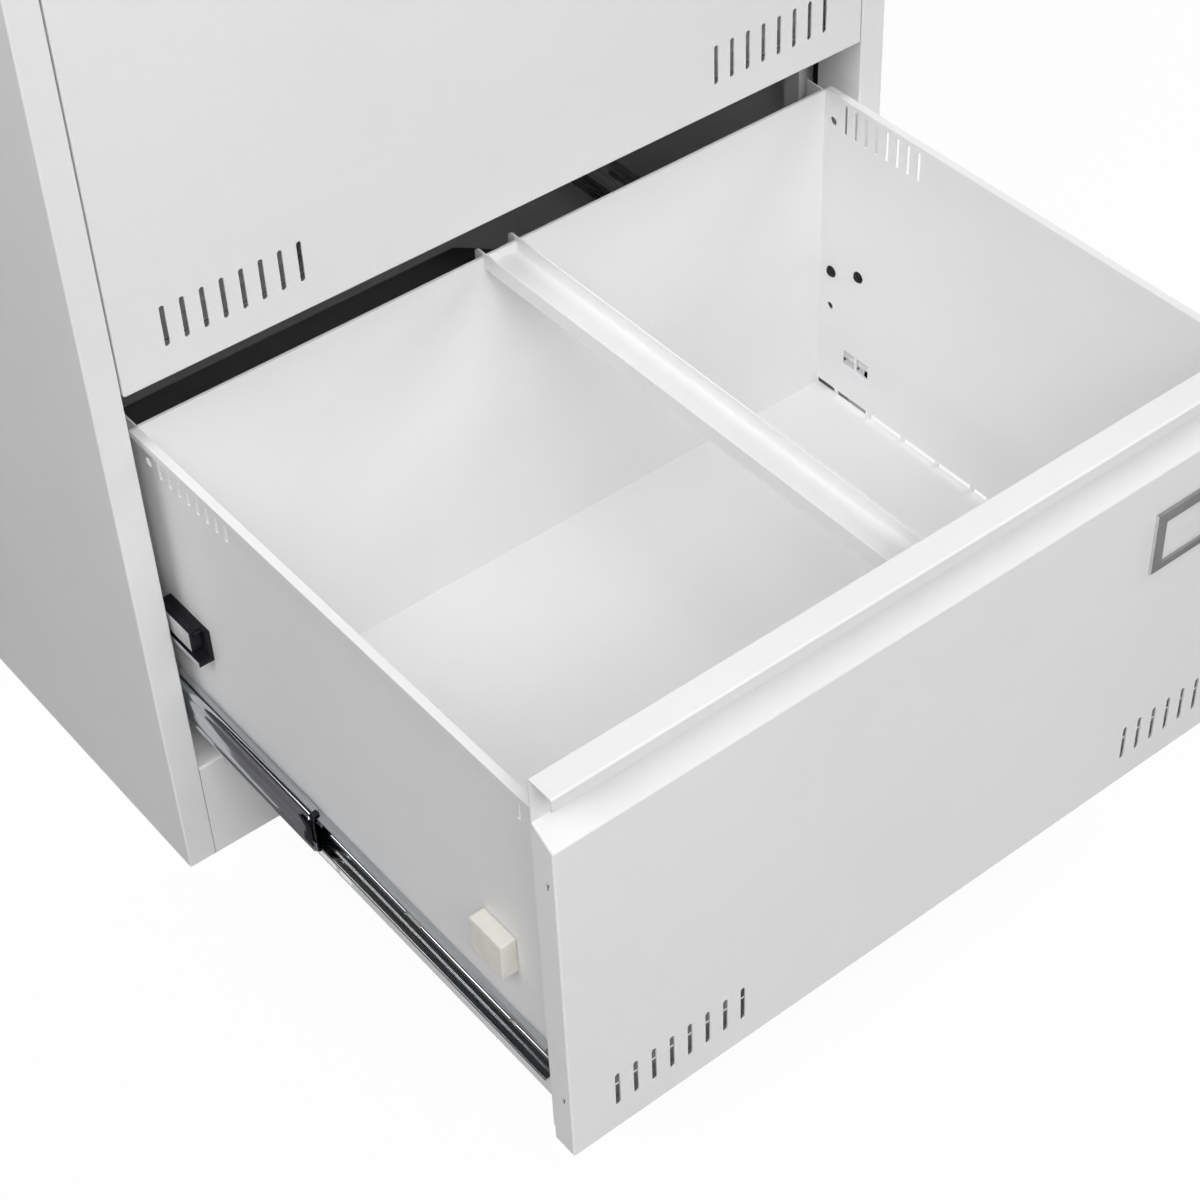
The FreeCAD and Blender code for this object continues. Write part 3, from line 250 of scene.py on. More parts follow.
# %% Shared effects
def new_group(name, inputs, outputs):
    """An empty shader group with float sockets."""
    group = bpy.data.node_groups.new(name, "ShaderNodeTree")
    for label, start in inputs:
        socket = group.interface.new_socket(label, in_out="INPUT", socket_type="NodeSocketFloat")
        socket.default_value = start
    for label in outputs:
        group.interface.new_socket(label, in_out="OUTPUT", socket_type="NodeSocketFloat")
    return group, group.nodes.new("NodeGroupInput"), group.nodes.new("NodeGroupOutput")


def noise(nodes, links, vector, scale, detail):
    """A noise texture, with its scale from a socket."""
    texture = nodes.new("ShaderNodeTexNoise")
    links.new(vector, texture.inputs["Vector"])
    links.new(scale, texture.inputs["Scale"])
    texture.inputs["Detail"].default_value = detail
    return texture.outputs["Fac"]


def make_grain():
    """Fine grain and slow clouds."""
    group, source, out = new_group("grain", [("Fine", 900.0), ("Slow", 9.0)], ["Grain", "Cloud"])
    nodes, links = group.nodes, group.links
    place = nodes.new("ShaderNodeTexCoord").outputs["Object"]
    links.new(noise(nodes, links, place, source.outputs["Fine"], 2.0), out.inputs["Grain"])
    links.new(noise(nodes, links, place, source.outputs["Slow"], 3.0), out.inputs["Cloud"])
    return group


def make_streaks():
    """Streaks along Y, fine and broad."""
    inputs = [("Fine", 900.0), ("Broad", 160.0), ("Stretch", 0.02)]
    group, source, out = new_group("streaks", inputs, ["Fine", "Broad"])
    nodes, links = group.nodes, group.links
    place = nodes.new("ShaderNodeTexCoord").outputs["Object"]
    squeeze = nodes.new("ShaderNodeCombineXYZ")
    squeeze.inputs["X"].default_value = 1
    squeeze.inputs["Z"].default_value = 1
    links.new(source.outputs["Stretch"], squeeze.inputs["Y"])
    drawn = nodes.new("ShaderNodeVectorMath")
    drawn.operation = "MULTIPLY"
    links.new(place, drawn.inputs[0])
    links.new(squeeze.outputs[0], drawn.inputs[1])
    links.new(noise(nodes, links, drawn.outputs[0], source.outputs["Fine"], 2.0), out.inputs["Fine"])
    links.new(noise(nodes, links, drawn.outputs[0], source.outputs["Broad"], 2.0), out.inputs["Broad"])
    return group


GRAIN = make_grain()
STREAKS = make_streaks()
print("groups:", GRAIN.name, STREAKS.name)

# %% [markdown]
# A finish is a Principled shader whose colour and roughness wander between two close values
# and whose surface is lifted by the same grain. The helper below builds one from a few
# numbers, so each material stays a short list of what is special about it.

# %% Finish builder
def blended(nodes, links, factor, low, high):
    """A colour that follows a factor from one value to another."""
    ramp = nodes.new("ShaderNodeValToRGB")
    for stop, place, colour in zip(ramp.color_ramp.elements, (0.35, 0.65), (low, high)):
        stop.position = place
        stop.color = (*colour, 1)
    links.new(factor, ramp.inputs["Fac"])
    return ramp.outputs["Color"]


def mapped(nodes, links, factor, low, high):
    """A number that follows a factor from one value to another."""
    node = nodes.new("ShaderNodeMapRange")
    for label, value in (("From Min", 0.3), ("From Max", 0.7), ("To Min", low), ("To Max", high)):
        node.inputs[label].default_value = value
    links.new(factor, node.inputs["Value"])
    return node.outputs["Result"]


def finish(name, effect, numbers, colour, rough, bump, metallic=0.0, specular=0.5):
    """A finish from a shared effect: colours and roughness as pairs, bump as height in mm."""
    material = bpy.data.materials.new(name)
    material.use_nodes = True
    nodes, links = material.node_tree.nodes, material.node_tree.links
    shader = nodes["Principled BSDF"]
    shader.inputs["Metallic"].default_value = metallic
    shader.inputs["Specular IOR Level"].default_value = specular
    group = nodes.new("ShaderNodeGroup")
    group.node_tree = effect
    for label, number in numbers.items():
        group.inputs[label].default_value = number
    fine, slow = group.outputs[0], group.outputs[1]
    links.new(blended(nodes, links, slow, *colour), shader.inputs["Base Color"])
    links.new(mapped(nodes, links, fine, *rough), shader.inputs["Roughness"])
    lift = nodes.new("ShaderNodeBump")
    lift.inputs["Distance"].default_value = bump * MM
    links.new(fine, lift.inputs["Height"])
    links.new(lift.outputs["Normal"], shader.inputs["Normal"])
    material.diffuse_color = (*colour[1], 1)
    return material


# %% [markdown]
# The cabinet's own finishes. The paint is a white powder coat with a fine texture that scatters
# light like an eggshell. Slides are bright zinc with rolling streaks, the lock is nickel, the
# small fittings are black plastic or black oxide, and the bumper is a cream foam with open
# pores. The label holder is grey plastic. A pale plastic is painted light: it is a lighter copy
# used on faces that catch the light. Each node of the engineering model gets the finish of its slot.

# %% Finishes
PAINT = finish("white_powder_coat", GRAIN, {"Fine": 1100.0, "Slow": 7.0},
               ((0.88, 0.88, 0.88), (0.90, 0.90, 0.902)), (0.42, 0.58), 0.11)
ZINC = finish("bright_zinc", STREAKS, {"Fine": 1500.0, "Broad": 220.0},
              ((0.54, 0.56, 0.59), (0.74, 0.74, 0.73)), (0.07, 0.17), 0.004, metallic=1.0)
NICKEL = finish("polished_nickel", GRAIN, {"Fine": 2500.0, "Slow": 60.0},
                ((0.70, 0.68, 0.64), (0.78, 0.77, 0.74)), (0.12, 0.22), 0.003, metallic=1.0)
BLACK_STEEL = finish("black_oxide_steel", GRAIN, {"Fine": 2200.0, "Slow": 80.0},
                     ((0.006, 0.006, 0.007), (0.014, 0.014, 0.016)), (0.36, 0.52), 0.008,
                     specular=0.22)
BLACK_PLASTIC = finish("black_moulded_plastic", GRAIN, {"Fine": 2600.0, "Slow": 40.0},
                       ((0.007, 0.007, 0.009), (0.014, 0.014, 0.017)), (0.32, 0.46), 0.012,
                       specular=0.25)
GREY_PLASTIC = finish("grey_moulded_plastic", GRAIN, {"Fine": 2400.0, "Slow": 50.0},
                      ((0.235, 0.235, 0.24), (0.27, 0.27, 0.275)), (0.30, 0.45), 0.01)
CARD = finish("white_card", GRAIN, {"Fine": 1800.0, "Slow": 30.0},
              ((0.78, 0.78, 0.775), (0.84, 0.84, 0.835)), (0.75, 0.9), 0.02, specular=0.2)
# A lighter copy of the plastic, used as a painted highlight on faces that catch the light.
PAINTED_LIT_PLASTIC = finish("plastic_painted_lit", GRAIN, {"Fine": 2400.0, "Slow": 60.0},
                      ((0.50, 0.50, 0.51), (0.62, 0.62, 0.63)), (0.30, 0.45), 0.01)
FOAM = finish("cream_foam", GRAIN, {"Fine": 1700.0, "Slow": 60.0},
              ((0.80, 0.775, 0.705), (0.85, 0.83, 0.765)), (0.85, 1.0), 0.25, specular=0.1)

finishes = {"white_paint": PAINT, "zinc_steel": ZINC, "nickel": NICKEL, "black_steel": BLACK_STEEL,
            "black_plastic": BLACK_PLASTIC, "grey_label": GREY_PLASTIC, "paper": CARD,
            "foam": FOAM}
for part in frame["record"]["subparts"]:
    node = NODES[part["node"]]
    node.data.materials.clear()
    node.data.materials.append(finishes[part["material_slot"]])
print("finishes:", len(finishes))

# %% [markdown]
# Most pieces that follow are a flat outline pushed through a length, as sheet metal and mouldings
# are. An outline is a list of points in millimetres. Drawing it by hand would do, but written
# out it shows its measures.

# %% Outlines
def rectangle(a0, b0, a1, b1):
    """The corners of a rectangle."""
    return [(a0, b0), (a1, b0), (a1, b1), (a0, b1)]


def arc(centre, radius, first, last, steps):
    """Points of an arc, with angles in degrees."""
    points = []
    for i in range(steps + 1):
        angle = math.radians(first + (last - first) * i / steps)
        points.append((centre[0] + radius * math.cos(angle), centre[1] + radius * math.sin(angle)))
    return points


def circle(centre, radius, count):
    """Evenly spaced points of a circle."""
    return arc(centre, radius, 0, 360 - 360 / count, count - 1)


# %% [markdown]
# A piece is put together in a bmesh, which is quick to add faces to. Three small functions say
# which way an outline is pushed. The faces are turned outwards once, when the mesh is made.

# %% Pushed pieces
def push(work, outline, place, start, end):
    """Push a closed outline from start to end. place turns (a, b, depth) into x, y, z."""
    rings = []
    for depth in (start, end):
        rings.append([work.verts.new(place(a, b, depth)) for a, b in outline])
    count = len(outline)
    for i in range(count):
        j = (i + 1) % count
        work.faces.new((rings[0][i], rings[0][j], rings[1][j], rings[1][i]))
    work.faces.new(rings[0])
    work.faces.new(rings[1][::-1])


def along_y(a, b, depth):
    """An outline in X and Z, pushed along Y."""
    return (a, depth, b)


def along_x(a, b, depth):
    """An outline in Y and Z, pushed along X."""
    return (depth, a, b)


def along_z(a, b, depth):
    """An outline in X and Y, pushed along Z."""
    return (a, b, depth)


def from_bmesh(name, work, *materials):
    """A piece from a bmesh in millimetres, with its normals outwards."""
    bmesh.ops.recalc_face_normals(work, faces=work.faces)
    bmesh.ops.scale(work, vec=(MM, MM, MM), verts=work.verts)
    mesh = bpy.data.meshes.new(name)
    work.to_mesh(mesh)
    work.free()
    for material in materials:
        mesh.materials.append(material)
    piece = bpy.data.objects.new(name, mesh)
    scene.collection.objects.link(piece)
    return piece


# %% [markdown]
# Real edges are a little round, and sheet metal is full of holes. A bevel rounds edges and a
# boolean cuts holes. Both are modifiers, and their result is kept as a plain mesh, so that later
# steps can pick out its faces.

# %% Round edges and holes
def applied(piece):
    """Replace a piece's mesh by what its modifiers make of it, and remove them."""
    graph = bpy.context.evaluated_depsgraph_get()
    graph.update()
    result = bpy.data.meshes.new_from_object(piece.evaluated_get(graph))
    piece.modifiers.clear()
    piece.data = result
    return piece


def smooth(piece, angle=35):
    """Smooth shading, with edges above an angle kept sharp."""
    piece.data.shade_smooth()
    piece.data.set_sharp_from_angle(angle=math.radians(angle))
    return piece


def rounded(piece, width, segments=2):
    """Round the sharp edges of a piece."""
    bevel = piece.modifiers.new("bevel", "BEVEL")
    bevel.width = width * MM
    bevel.segments = segments
    bevel.limit_method = "ANGLE"
    bevel.angle_limit = math.radians(40)
    applied(piece)
    return smooth(piece)


def punched(piece, cutter):
    """Cut one piece by another, which is then removed."""
    hole = piece.modifiers.new("holes", "BOOLEAN")
    hole.operation = "DIFFERENCE"
    hole.solver = "EXACT"
    hole.object = cutter
    applied(piece)
    bpy.data.objects.remove(cutter)
    return piece


# %% [markdown]
# The engineering model says where each piece goes. A finished piece rides on one of its bodies
# and stands for the plain nodes that it replaces.

# %% Places in the model
def limits(node):
    """The low and high corner of a CAD node in millimetres."""
    low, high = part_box(node)
    return low / MM, high / MM


def settle(piece, body, slot, *nodes):
    """Put a finished piece on its body and hide the nodes it stands for; the slot is not used."""
    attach(piece, body)
    if nodes:
        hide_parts(*nodes)
    print(piece.name, "on", body, "-", len(piece.data.polygons), "faces")


# %% [markdown]
# A drawer slide is three strips of zinc-plated steel, rolled into sections that nest and run on
# balls. Each section is drawn as the middle line of half a strip and mirrored about the slide's
# centre. Offsetting that line to both sides gives the strip its thickness. The curls are what
# catch the light: a plain channel would look like a box.

# %% Rolled sections
STRIP = 1.2


def flattened(points, centre, share):
    """The same points with their distance from a centre shortened across the section."""
    return [(centre + (u - centre) * share, v) for u, v in points]


def mirrored_line(half):
    """A half section, from the centre up, with its mirror image below."""
    return [(u, -v) for u, v in reversed(half)] + half


def strip_outline(line, thickness=STRIP):
    """The closed outline of a strip with the given middle line."""
    left, right = [], []
    count = len(line)
    for i, (u, v) in enumerate(line):
        before = line[max(i - 1, 0)]
        after = line[min(i + 1, count - 1)]
        one = Vector((u - before[0], v - before[1]))
        two = Vector((after[0] - u, after[1] - v))
        if one.length < 1e-9:
            one = two
        if two.length < 1e-9:
            two = one
        one.normalize()
        two.normalize()
        mid = (one + two).normalized()
        normal = Vector((-mid.y, mid.x))
        reach = thickness / 2 / max(mid.dot(one), 0.5)
        left.append((u + normal.x * reach, v + normal.y * reach))
        right.append((u - normal.x * reach, v - normal.y * reach))
    return left + right[::-1]


OUTER_HALF = ([(0.6, 4.0), (0.6, 19.2)] + arc((2.6, 20.15), 2.0, 165, 90, 5) +
              [(5.2, 22.15)] + arc((5.2, 18.6), 3.55, 82, 5, 6))
MIDDLE_HALF = ([(0.6, 3.0), (0.6, 8.4), (0.9, 9.2), (1.7, 10.3), (1.75, 11.1)] +
               flattened(arc((4.9, 13.9), 3.5, 205, 22, 12), 4.9, 1.1))
INNER_HALF = (arc((0.9, 0), 1.2, 12, 65, 4) + [(0.75, 1.8), (0.6, 2.6), (0.6, 11.4)] +
              arc((2.0, 12.25), 1.4, 180, 90, 5) + [(5.9, 13.65), (6.3, 13.5)])
SECTIONS = {"outer": OUTER_HALF, "mid": MIDDLE_HALF, "inner": INNER_HALF}
for kind, half in SECTIONS.items():
    outline = strip_outline(mirrored_line(half))
    print(kind, "section:", round(max(v for u, v in outline) * 2, 1), "mm high,",
          round(max(u for u, v in outline), 1), "mm deep")

# %% [markdown]
# The three members of a slide replace their plain stand-ins one by one. Their webs have the
# slots and round holes through which such slides are fixed. A cutter that carries all the holes
# of one web is made first, and one boolean cuts them.

# %% Slide members
SIDES = {"left": -1, "right": 1}
DRAWERS = ("lower", "upper")
SLOT_SPOTS = {"outer": (22, 70, 190, 300, 372), "mid": (330, 360), "inner": (34, 130, 226, 322)}
LONG_SLOT = (16, 5.5)
ROUND_HOLE = (6.5, 6.5)
CUT_REACH = 4


def round_slot(length, height, steps=6):
    """The outline of a slot with round ends."""
    radius = height / 2
    half = length / 2 - radius
    return arc((half, 0), radius, -90, 90, steps) + arc((-half, 0), radius, 90, 270, steps)


def slide_member(drawer, kind, side_name):
    """One rolled strip, with its web where the CAD node has it."""
    side = SIDES[side_name]
    node = f"{drawer}_slide_{kind}_{side_name}"
    low, high = limits(node)
    level = (low.z + high.z) / 2
    far, near = (high.x, low.x) if side > 0 else (low.x, high.x)
    web, facing = (near, side) if kind == "inner" else (far, -side)
    outline = strip_outline(mirrored_line(SECTIONS[kind]))
    work = bmesh.new()
    placed = [(web + facing * u, level + v) for u, v in outline]
    push(work, placed, along_y, low.y, high.y)
    member = from_bmesh(f"{node}_rolled", work, ZINC)
    work = bmesh.new()
    for number, spot in enumerate(SLOT_SPOTS[kind]):
        shape = round_slot(*(LONG_SLOT if number % 2 else ROUND_HOLE))
        hole = [(low.y + spot + a, level + b) for a, b in shape]
        push(work, hole, along_x, web - CUT_REACH, web + CUT_REACH)
    smooth(punched(member, from_bmesh("holes", work)))
    body = {"outer": "cabinet", "mid": f"{drawer}_slide_middles", "inner": f"{drawer}_drawer"}[kind]
    settle(member, body, "zinc_steel", node)


for drawer in DRAWERS:
    for kind in SECTIONS:
        for side_name in SIDES:
            slide_member(drawer, kind, side_name)

# %% [markdown]
# A moulded stop is clipped into the front end of each middle member. It fills both races there,
# lies against the web on its inner side, reaches round it with a barb on the outer side, and a
# small folded lug of the member stands in front of it. Its section follows the member's own, so
# that the two fit: a plain plug would leave gaps at the races.

# %% End stops
STOP_WEB = [(1.35, 0.0), (1.35, 8.6), (2.4, 10.5), (2.4, 11.4)]
STOP_LOBE = flattened(arc((4.9, 13.9), 2.75, 203, 25, 9), 4.9, 1.1)
STOP_INSIDE = [(3.5, 14.95), (3.35, 12.2), (3.5, 11.2), (2.75, 8.6), (2.75, 0.0)]
STOP_HALF = STOP_WEB[1:] + STOP_LOBE + STOP_INSIDE[:-1]
STOP_SECTION = STOP_HALF + [(u, -v) for u, v in reversed(STOP_HALF)]
STOP_LENGTH = 12
BARB = [(0, -9), (9, -9), (9, -2), (6, 0), (6, 4), (8, 6), (12, 9.5), (12, 11), (0, 11)]
BARB_HEIGHT = 0.55
LUG = [(-2.0, -11), (3.2, -11), (3.2, -5.5), (-2.0, -4.5)]


def end_stop(drawer, side_name):
    """The stop of one middle member, as a black moulding and a zinc lug."""
    side = SIDES[side_name]
    low, high = limits(f"{drawer}_slide_mid_{side_name}")
    web = high.x if side > 0 else low.x
    level = (low.z + high.z) / 2
    front = limits(f"{drawer}_slide_end_stops")[0].y
    work = bmesh.new()
    section = [(web - side * u, level + v) for u, v in STOP_SECTION]
    push(work, section, along_y, front, front + STOP_LENGTH)
    barb = [(front + a, level + b) for a, b in BARB]
    push(work, barb, along_x, web, web + side * BARB_HEIGHT)
    stop = rounded(from_bmesh(f"{drawer}_moulded_stop_{side_name}", work, BLACK_PLASTIC), 0.25)
    settle(stop, f"{drawer}_slide_middles", "black_plastic", f"{drawer}_slide_end_stops")
    work = bmesh.new()
    push(work, [(front + a, level + b) for a, b in LUG], along_x, web, web - side * STRIP)
    lug = rounded(from_bmesh(f"{drawer}_slide_lug_{side_name}", work, ZINC), 0.3)
    settle(lug, f"{drawer}_slide_middles", "zinc_steel")


for drawer in DRAWERS:
    for side_name in SIDES:
        end_stop(drawer, side_name)

# %% [markdown]
# Things that come in numbers are made once and placed many times. Geometry Nodes do that here:
# the tree reads points with a direction each, puts a copy of a shape on every point, turns it
# that way and gives it a material. The copies are then made real, because the export leaves
# instances out, and the result is kept as one plain mesh for each body.

# %% Placing many copies
def make_copies_tree():
    """A tree that puts a shape on every point and turns its Z axis along the point's aim."""
    tree = bpy.data.node_groups.new("copies", "GeometryNodeTree")
    for label, kind in (("Geometry", "Geometry"), ("Shape", "Object"), ("Size", "Float"),
                        ("Finish", "Material")):
        tree.interface.new_socket(label, in_out="INPUT", socket_type="NodeSocket" + kind)
    tree.interface.new_socket("Geometry", in_out="OUTPUT", socket_type="NodeSocketGeometry")
    nodes, links = tree.nodes, tree.links
    source, out = nodes.new("NodeGroupInput"), nodes.new("NodeGroupOutput")
    shape = nodes.new("GeometryNodeObjectInfo")
    links.new(source.outputs["Shape"], shape.inputs["Object"])
    aim = nodes.new("GeometryNodeInputNamedAttribute")
    aim.data_type = "FLOAT_VECTOR"
    aim.inputs["Name"].default_value = "aim"
    turn = nodes.new("FunctionNodeAlignRotationToVector")
    turn.axis = "Z"
    links.new(aim.outputs["Attribute"], turn.inputs["Vector"])
    place = nodes.new("GeometryNodeInstanceOnPoints")
    links.new(source.outputs["Geometry"], place.inputs["Points"])
    links.new(shape.outputs["Geometry"], place.inputs["Instance"])
    links.new(turn.outputs["Rotation"], place.inputs["Rotation"])
    links.new(source.outputs["Size"], place.inputs["Scale"])
    real = nodes.new("GeometryNodeRealizeInstances")
    links.new(place.outputs["Instances"], real.inputs["Geometry"])
    paint = nodes.new("GeometryNodeSetMaterial")
    links.new(real.outputs["Geometry"], paint.inputs["Geometry"])
    links.new(source.outputs["Finish"], paint.inputs["Material"])
    links.new(paint.outputs["Geometry"], out.inputs["Geometry"])
    return tree


COPIES = make_copies_tree()
print("copies tree:", len(COPIES.nodes), "nodes")


def copies(name, shape, places, material, size=1.0):
    """One mesh with a copy of a shape at every place, given as (point in mm, direction)."""
    mesh = bpy.data.meshes.new(name)
    mesh.from_pydata([Vector(point) * MM for point, aim in places], [], [])
    aims = mesh.attributes.new("aim", "FLOAT_VECTOR", "POINT")
    for entry, (point, aim) in zip(aims.data, places):
        entry.vector = aim
    holder = bpy.data.objects.new(name, mesh)
    scene.collection.objects.link(holder)
    modifier = holder.modifiers.new("copies", "NODES")
    modifier.node_group = COPIES
    given = {"Shape": shape, "Size": size, "Finish": material}
    for item in COPIES.interface.items_tree:
        if item.in_out == "INPUT" and item.name in given:
            modifier[item.identifier] = given[item.name]
    applied(holder)
    for attribute in [a for a in holder.data.attributes if a.name == "aim"]:
        holder.data.attributes.remove(attribute)
    if material.name not in holder.data.materials:
        holder.data.materials.append(material)
    return holder


# %% [markdown]
# Balls, screws, feet and the lock's parts are round. Their profile goes round the Z axis, as on a
# lathe. A screw modifier would turn it too, but this way the points on the axis stay single.

# %% Turned shapes
def lathe(name, profile, steps, material):
    """A shape turned about Z from a profile of (radius, height) pairs in millimetres."""
    work = bmesh.new()
    rings = []
    for radius, height in profile:
        if radius == 0:
            rings.append([work.verts.new((0, 0, height))])
            continue
        ring = []
        for i in range(steps):
            angle = 2 * math.pi * i / steps
            ring.append(work.verts.new((radius * math.cos(angle), radius * math.sin(angle), height)))
        rings.append(ring)
    for low, high in zip(rings, rings[1:]):
        for i in range(steps):
            j = (i + 1) % steps
            corners = [low[i % len(low)], low[j % len(low)], high[j % len(high)], high[i % len(high)]]
            work.faces.new(list(dict.fromkeys(corners)))
    return smooth(from_bmesh(name, work, material))


# %% [markdown]
# Each pair of nested members rolls on two rows of steel balls. A thin cage keeps them apart: a
# strip pressed to the shape of the race. The balls and their cages ride on the middle member. In
# a real slide each cage travels half as far as the members beside it move apart.

# %% Balls and cages
BALL = lathe("ball_shape", [(0, -1)] + arc((0, 0), 1, -60, 60, 4) + [(0, 1)], 10, NICKEL)
BALL_PLACES = {"inner": (5.2, 15.3), "outer": (3.75, 19.65)}
BALL_RADIUS = {"inner": 1.4, "outer": 1.65}
ROW_ENDS = {"inner": (15, 150), "outer": (170, 390)}
BALL_PITCH = 9
CAGES = {"inner": [(2.6, 14.9), (3.4, 15.25), (7.0, 15.25)],
         "outer": [(1.9, 19.65), (5.6, 19.65), (6.3, 19.2)]}
CAGE_SHEET = 0.5
CAGE_END = 3
for drawer in DRAWERS:
    for row, (deep, high_up) in BALL_PLACES.items():
        first, last = ROW_ENDS[row]
        places = []
        work = bmesh.new()
        for side_name, side in SIDES.items():
            low, high = limits(f"{drawer}_slide_mid_{side_name}")
            web = high.x if side > 0 else low.x
            level = (low.z + high.z) / 2
            for up in (1, -1):
                for step in range(int((last - first) / BALL_PITCH) + 1):
                    point = (web - side * deep, low.y + first + step * BALL_PITCH, level + up * high_up)
                    places.append((point, (0, 0, 1)))
                line = [(web - side * u, level + up * v) for u, v in CAGES[row]]
                push(work, strip_outline(line, CAGE_SHEET), along_y,
                     low.y + first - CAGE_END, low.y + last + CAGE_END)
        balls = copies(f"{drawer}_{row}_balls", BALL, places, NICKEL, BALL_RADIUS[row])
        settle(smooth(balls), f"{drawer}_slide_middles", "zinc_steel")
        cage = from_bmesh(f"{drawer}_{row}_cages", work, ZINC)
        settle(cage, f"{drawer}_slide_middles", "zinc_steel")

# %% [markdown]
# Two machine screws hold each catch block from inside the drawer. They are black button heads
# with a cross recess. The head is turned from its profile, the recess is cut into it once, and
# the copies go to the four places of each drawer, facing inwards. The places come from the
# corners of the box that holds all four screws.

# %% Block screws
def screw_shape():
    """A button head with a cross recess and a plain shank, its head pointing up Z."""
    profile = [(0, 1.9), (1.4, 1.9), (1.9, 2.2), (2.6, 2.1), (3.5, 1.5), (4.1, 0.5), (4.5, 0.3),
               (4.5, 0.0), (2.0, 0.0), (2.0, -8.4), (1.5, -9.0), (0, -9.0)]
    head = lathe("screw_shape", profile, 24, BLACK_STEEL)
    work = bmesh.new()
    for a, b in ((2.6, 0.55), (0.55, 2.6)):
        push(work, rectangle(-a, -b, a, b), along_z, 0.9, 3.0)
    return smooth(punched(head, from_bmesh("cross", work)))


SCREW = screw_shape()
HEAD_RADIUS = 4.7
SHANK = 9.0


def screw_spots(drawer):
    """Y and Z of the two screws in each of a drawer's walls."""
    low, high = limits(f"{drawer}_block_screws")
    return ((high.y - HEAD_RADIUS, low.z + HEAD_RADIUS),
            (low.y + HEAD_RADIUS, high.z - HEAD_RADIUS))


for drawer in DRAWERS:
    inner_x = limits(f"{drawer}_block_screws")[1].x - SHANK
    places = []
    for side in SIDES.values():
        for y, z in screw_spots(drawer):
            places.append(((side * inner_x, y, z), (-side, 0, 0)))
    screws = copies(f"{drawer}_cross_screws", SCREW, places, BLACK_STEEL)
    settle(screws, f"{drawer}_drawer", "black_steel", f"{drawer}_block_screws")

# %% [markdown]
# The catch block on each side wall is a moulding: a base plate, a ledge below, a jaw above and
# between them the groove that the interlock rod locks into. The jaw stops short of the front
# end. Its outward faces are painted pale, as a painted highlight for the light they catch, and the
# rest is black. Two small ejector marks are left on its top, as on any such moulding. Its two
# sections, with and without the jaw, are joined ring by ring, which leaves one closed skin with
# no face inside.

# %% Catch blocks
BLOCK_BASE = 3.0
BLOCK_LEVELS = (4.0, 9.0, 24.5)
JAW_START = 6.5
BORE_RADIUS = 2.15
BORE_DEPTH = 8.15
EJECTOR_RADIUS = 0.9
EJECTOR_DEPTH = 0.3


def catch_block(drawer, side_name):
    """One catch block with rounded edges, screw holes and outward faces painted pale as if lit."""
    node = f"{drawer}_interlock_block_{side_name}"
    side = SIDES[side_name]
    low, high = limits(node)
    wall, out = (low.x, high.x) if side > 0 else (high.x, low.x)
    base = wall + side * BLOCK_BASE
    ledge, roof, top = (low.z + level for level in BLOCK_LEVELS)
    jaw = low.y + JAW_START
    work = bmesh.new()
    plain = [(wall, low.z), (out, low.z), (out, ledge), (base, ledge), (base, top), (wall, top)]
    full = [(wall, low.z), (out, low.z), (out, ledge), (base, ledge), (base, roof), (out, roof),
            (out, top), (wall, top)]
    rows = []
    for y, outline in ((low.y, plain), (jaw, plain), (jaw, full), (high.y, full)):
        rows.append([work.verts.new((x, y, z)) for x, z in outline])
    for one, two in ((rows[0], rows[1]), (rows[2], rows[3])):
        for i in range(len(one)):
            j = (i + 1) % len(one)
            work.faces.new((one[i], one[j], two[j], two[i]))
    work.faces.new(rows[0])
    work.faces.new(rows[3])
    work.faces.new([rows[2][i] for i in (4, 5, 6, 7)] + [rows[1][4]])
    bmesh.ops.remove_doubles(work, verts=work.verts, dist=1e-4)
    block = from_bmesh(f"{node}_moulded", work, BLACK_PLASTIC, PAINTED_LIT_PLASTIC)
    cutter = bmesh.new()
    for y, z in screw_spots(drawer):
        push(cutter, circle((y, z), BORE_RADIUS, 16), along_x, wall - side, wall + side * BORE_DEPTH)
    for y in (jaw + 8, high.y - 6):
        mark = circle((wall + side * 6.5, y), EJECTOR_RADIUS, 10)
        push(cutter, mark, along_z, top - EJECTOR_DEPTH, top + 1)
    punched(block, from_bmesh("bores", cutter))
    rounded(block, 0.35)
    # The outward faces take the pale plastic. This is a painted highlight: they are lighter only for
    # the light they catch.
    for face in block.data.polygons:
        if face.normal.x * side > 0.9 and face.center.x / MM * side > out * side - 0.1:
            face.material_index = 1
    settle(block, f"{drawer}_drawer", "black_plastic", node)


for drawer in DRAWERS:
    for side_name in SIDES:
        catch_block(drawer, side_name)

# %% [markdown]
# A frame holds the paper label. It is grey in front, and its outer sides are painted pale as a
# painted highlight where they catch the light. Its edges are a little rounded, which gives it the
# bright line along its top. The window and the card's recess behind it are cut out of one block,
# because a frame of four bars would show its joints.

# %% Label holders
LABEL_BORDER = 8.2
LABEL_LOWER_BORDER = 5.3
LABEL_WALL = 1.4
CARD_SPACE = 0.6
LABEL_ROUND = 0.22


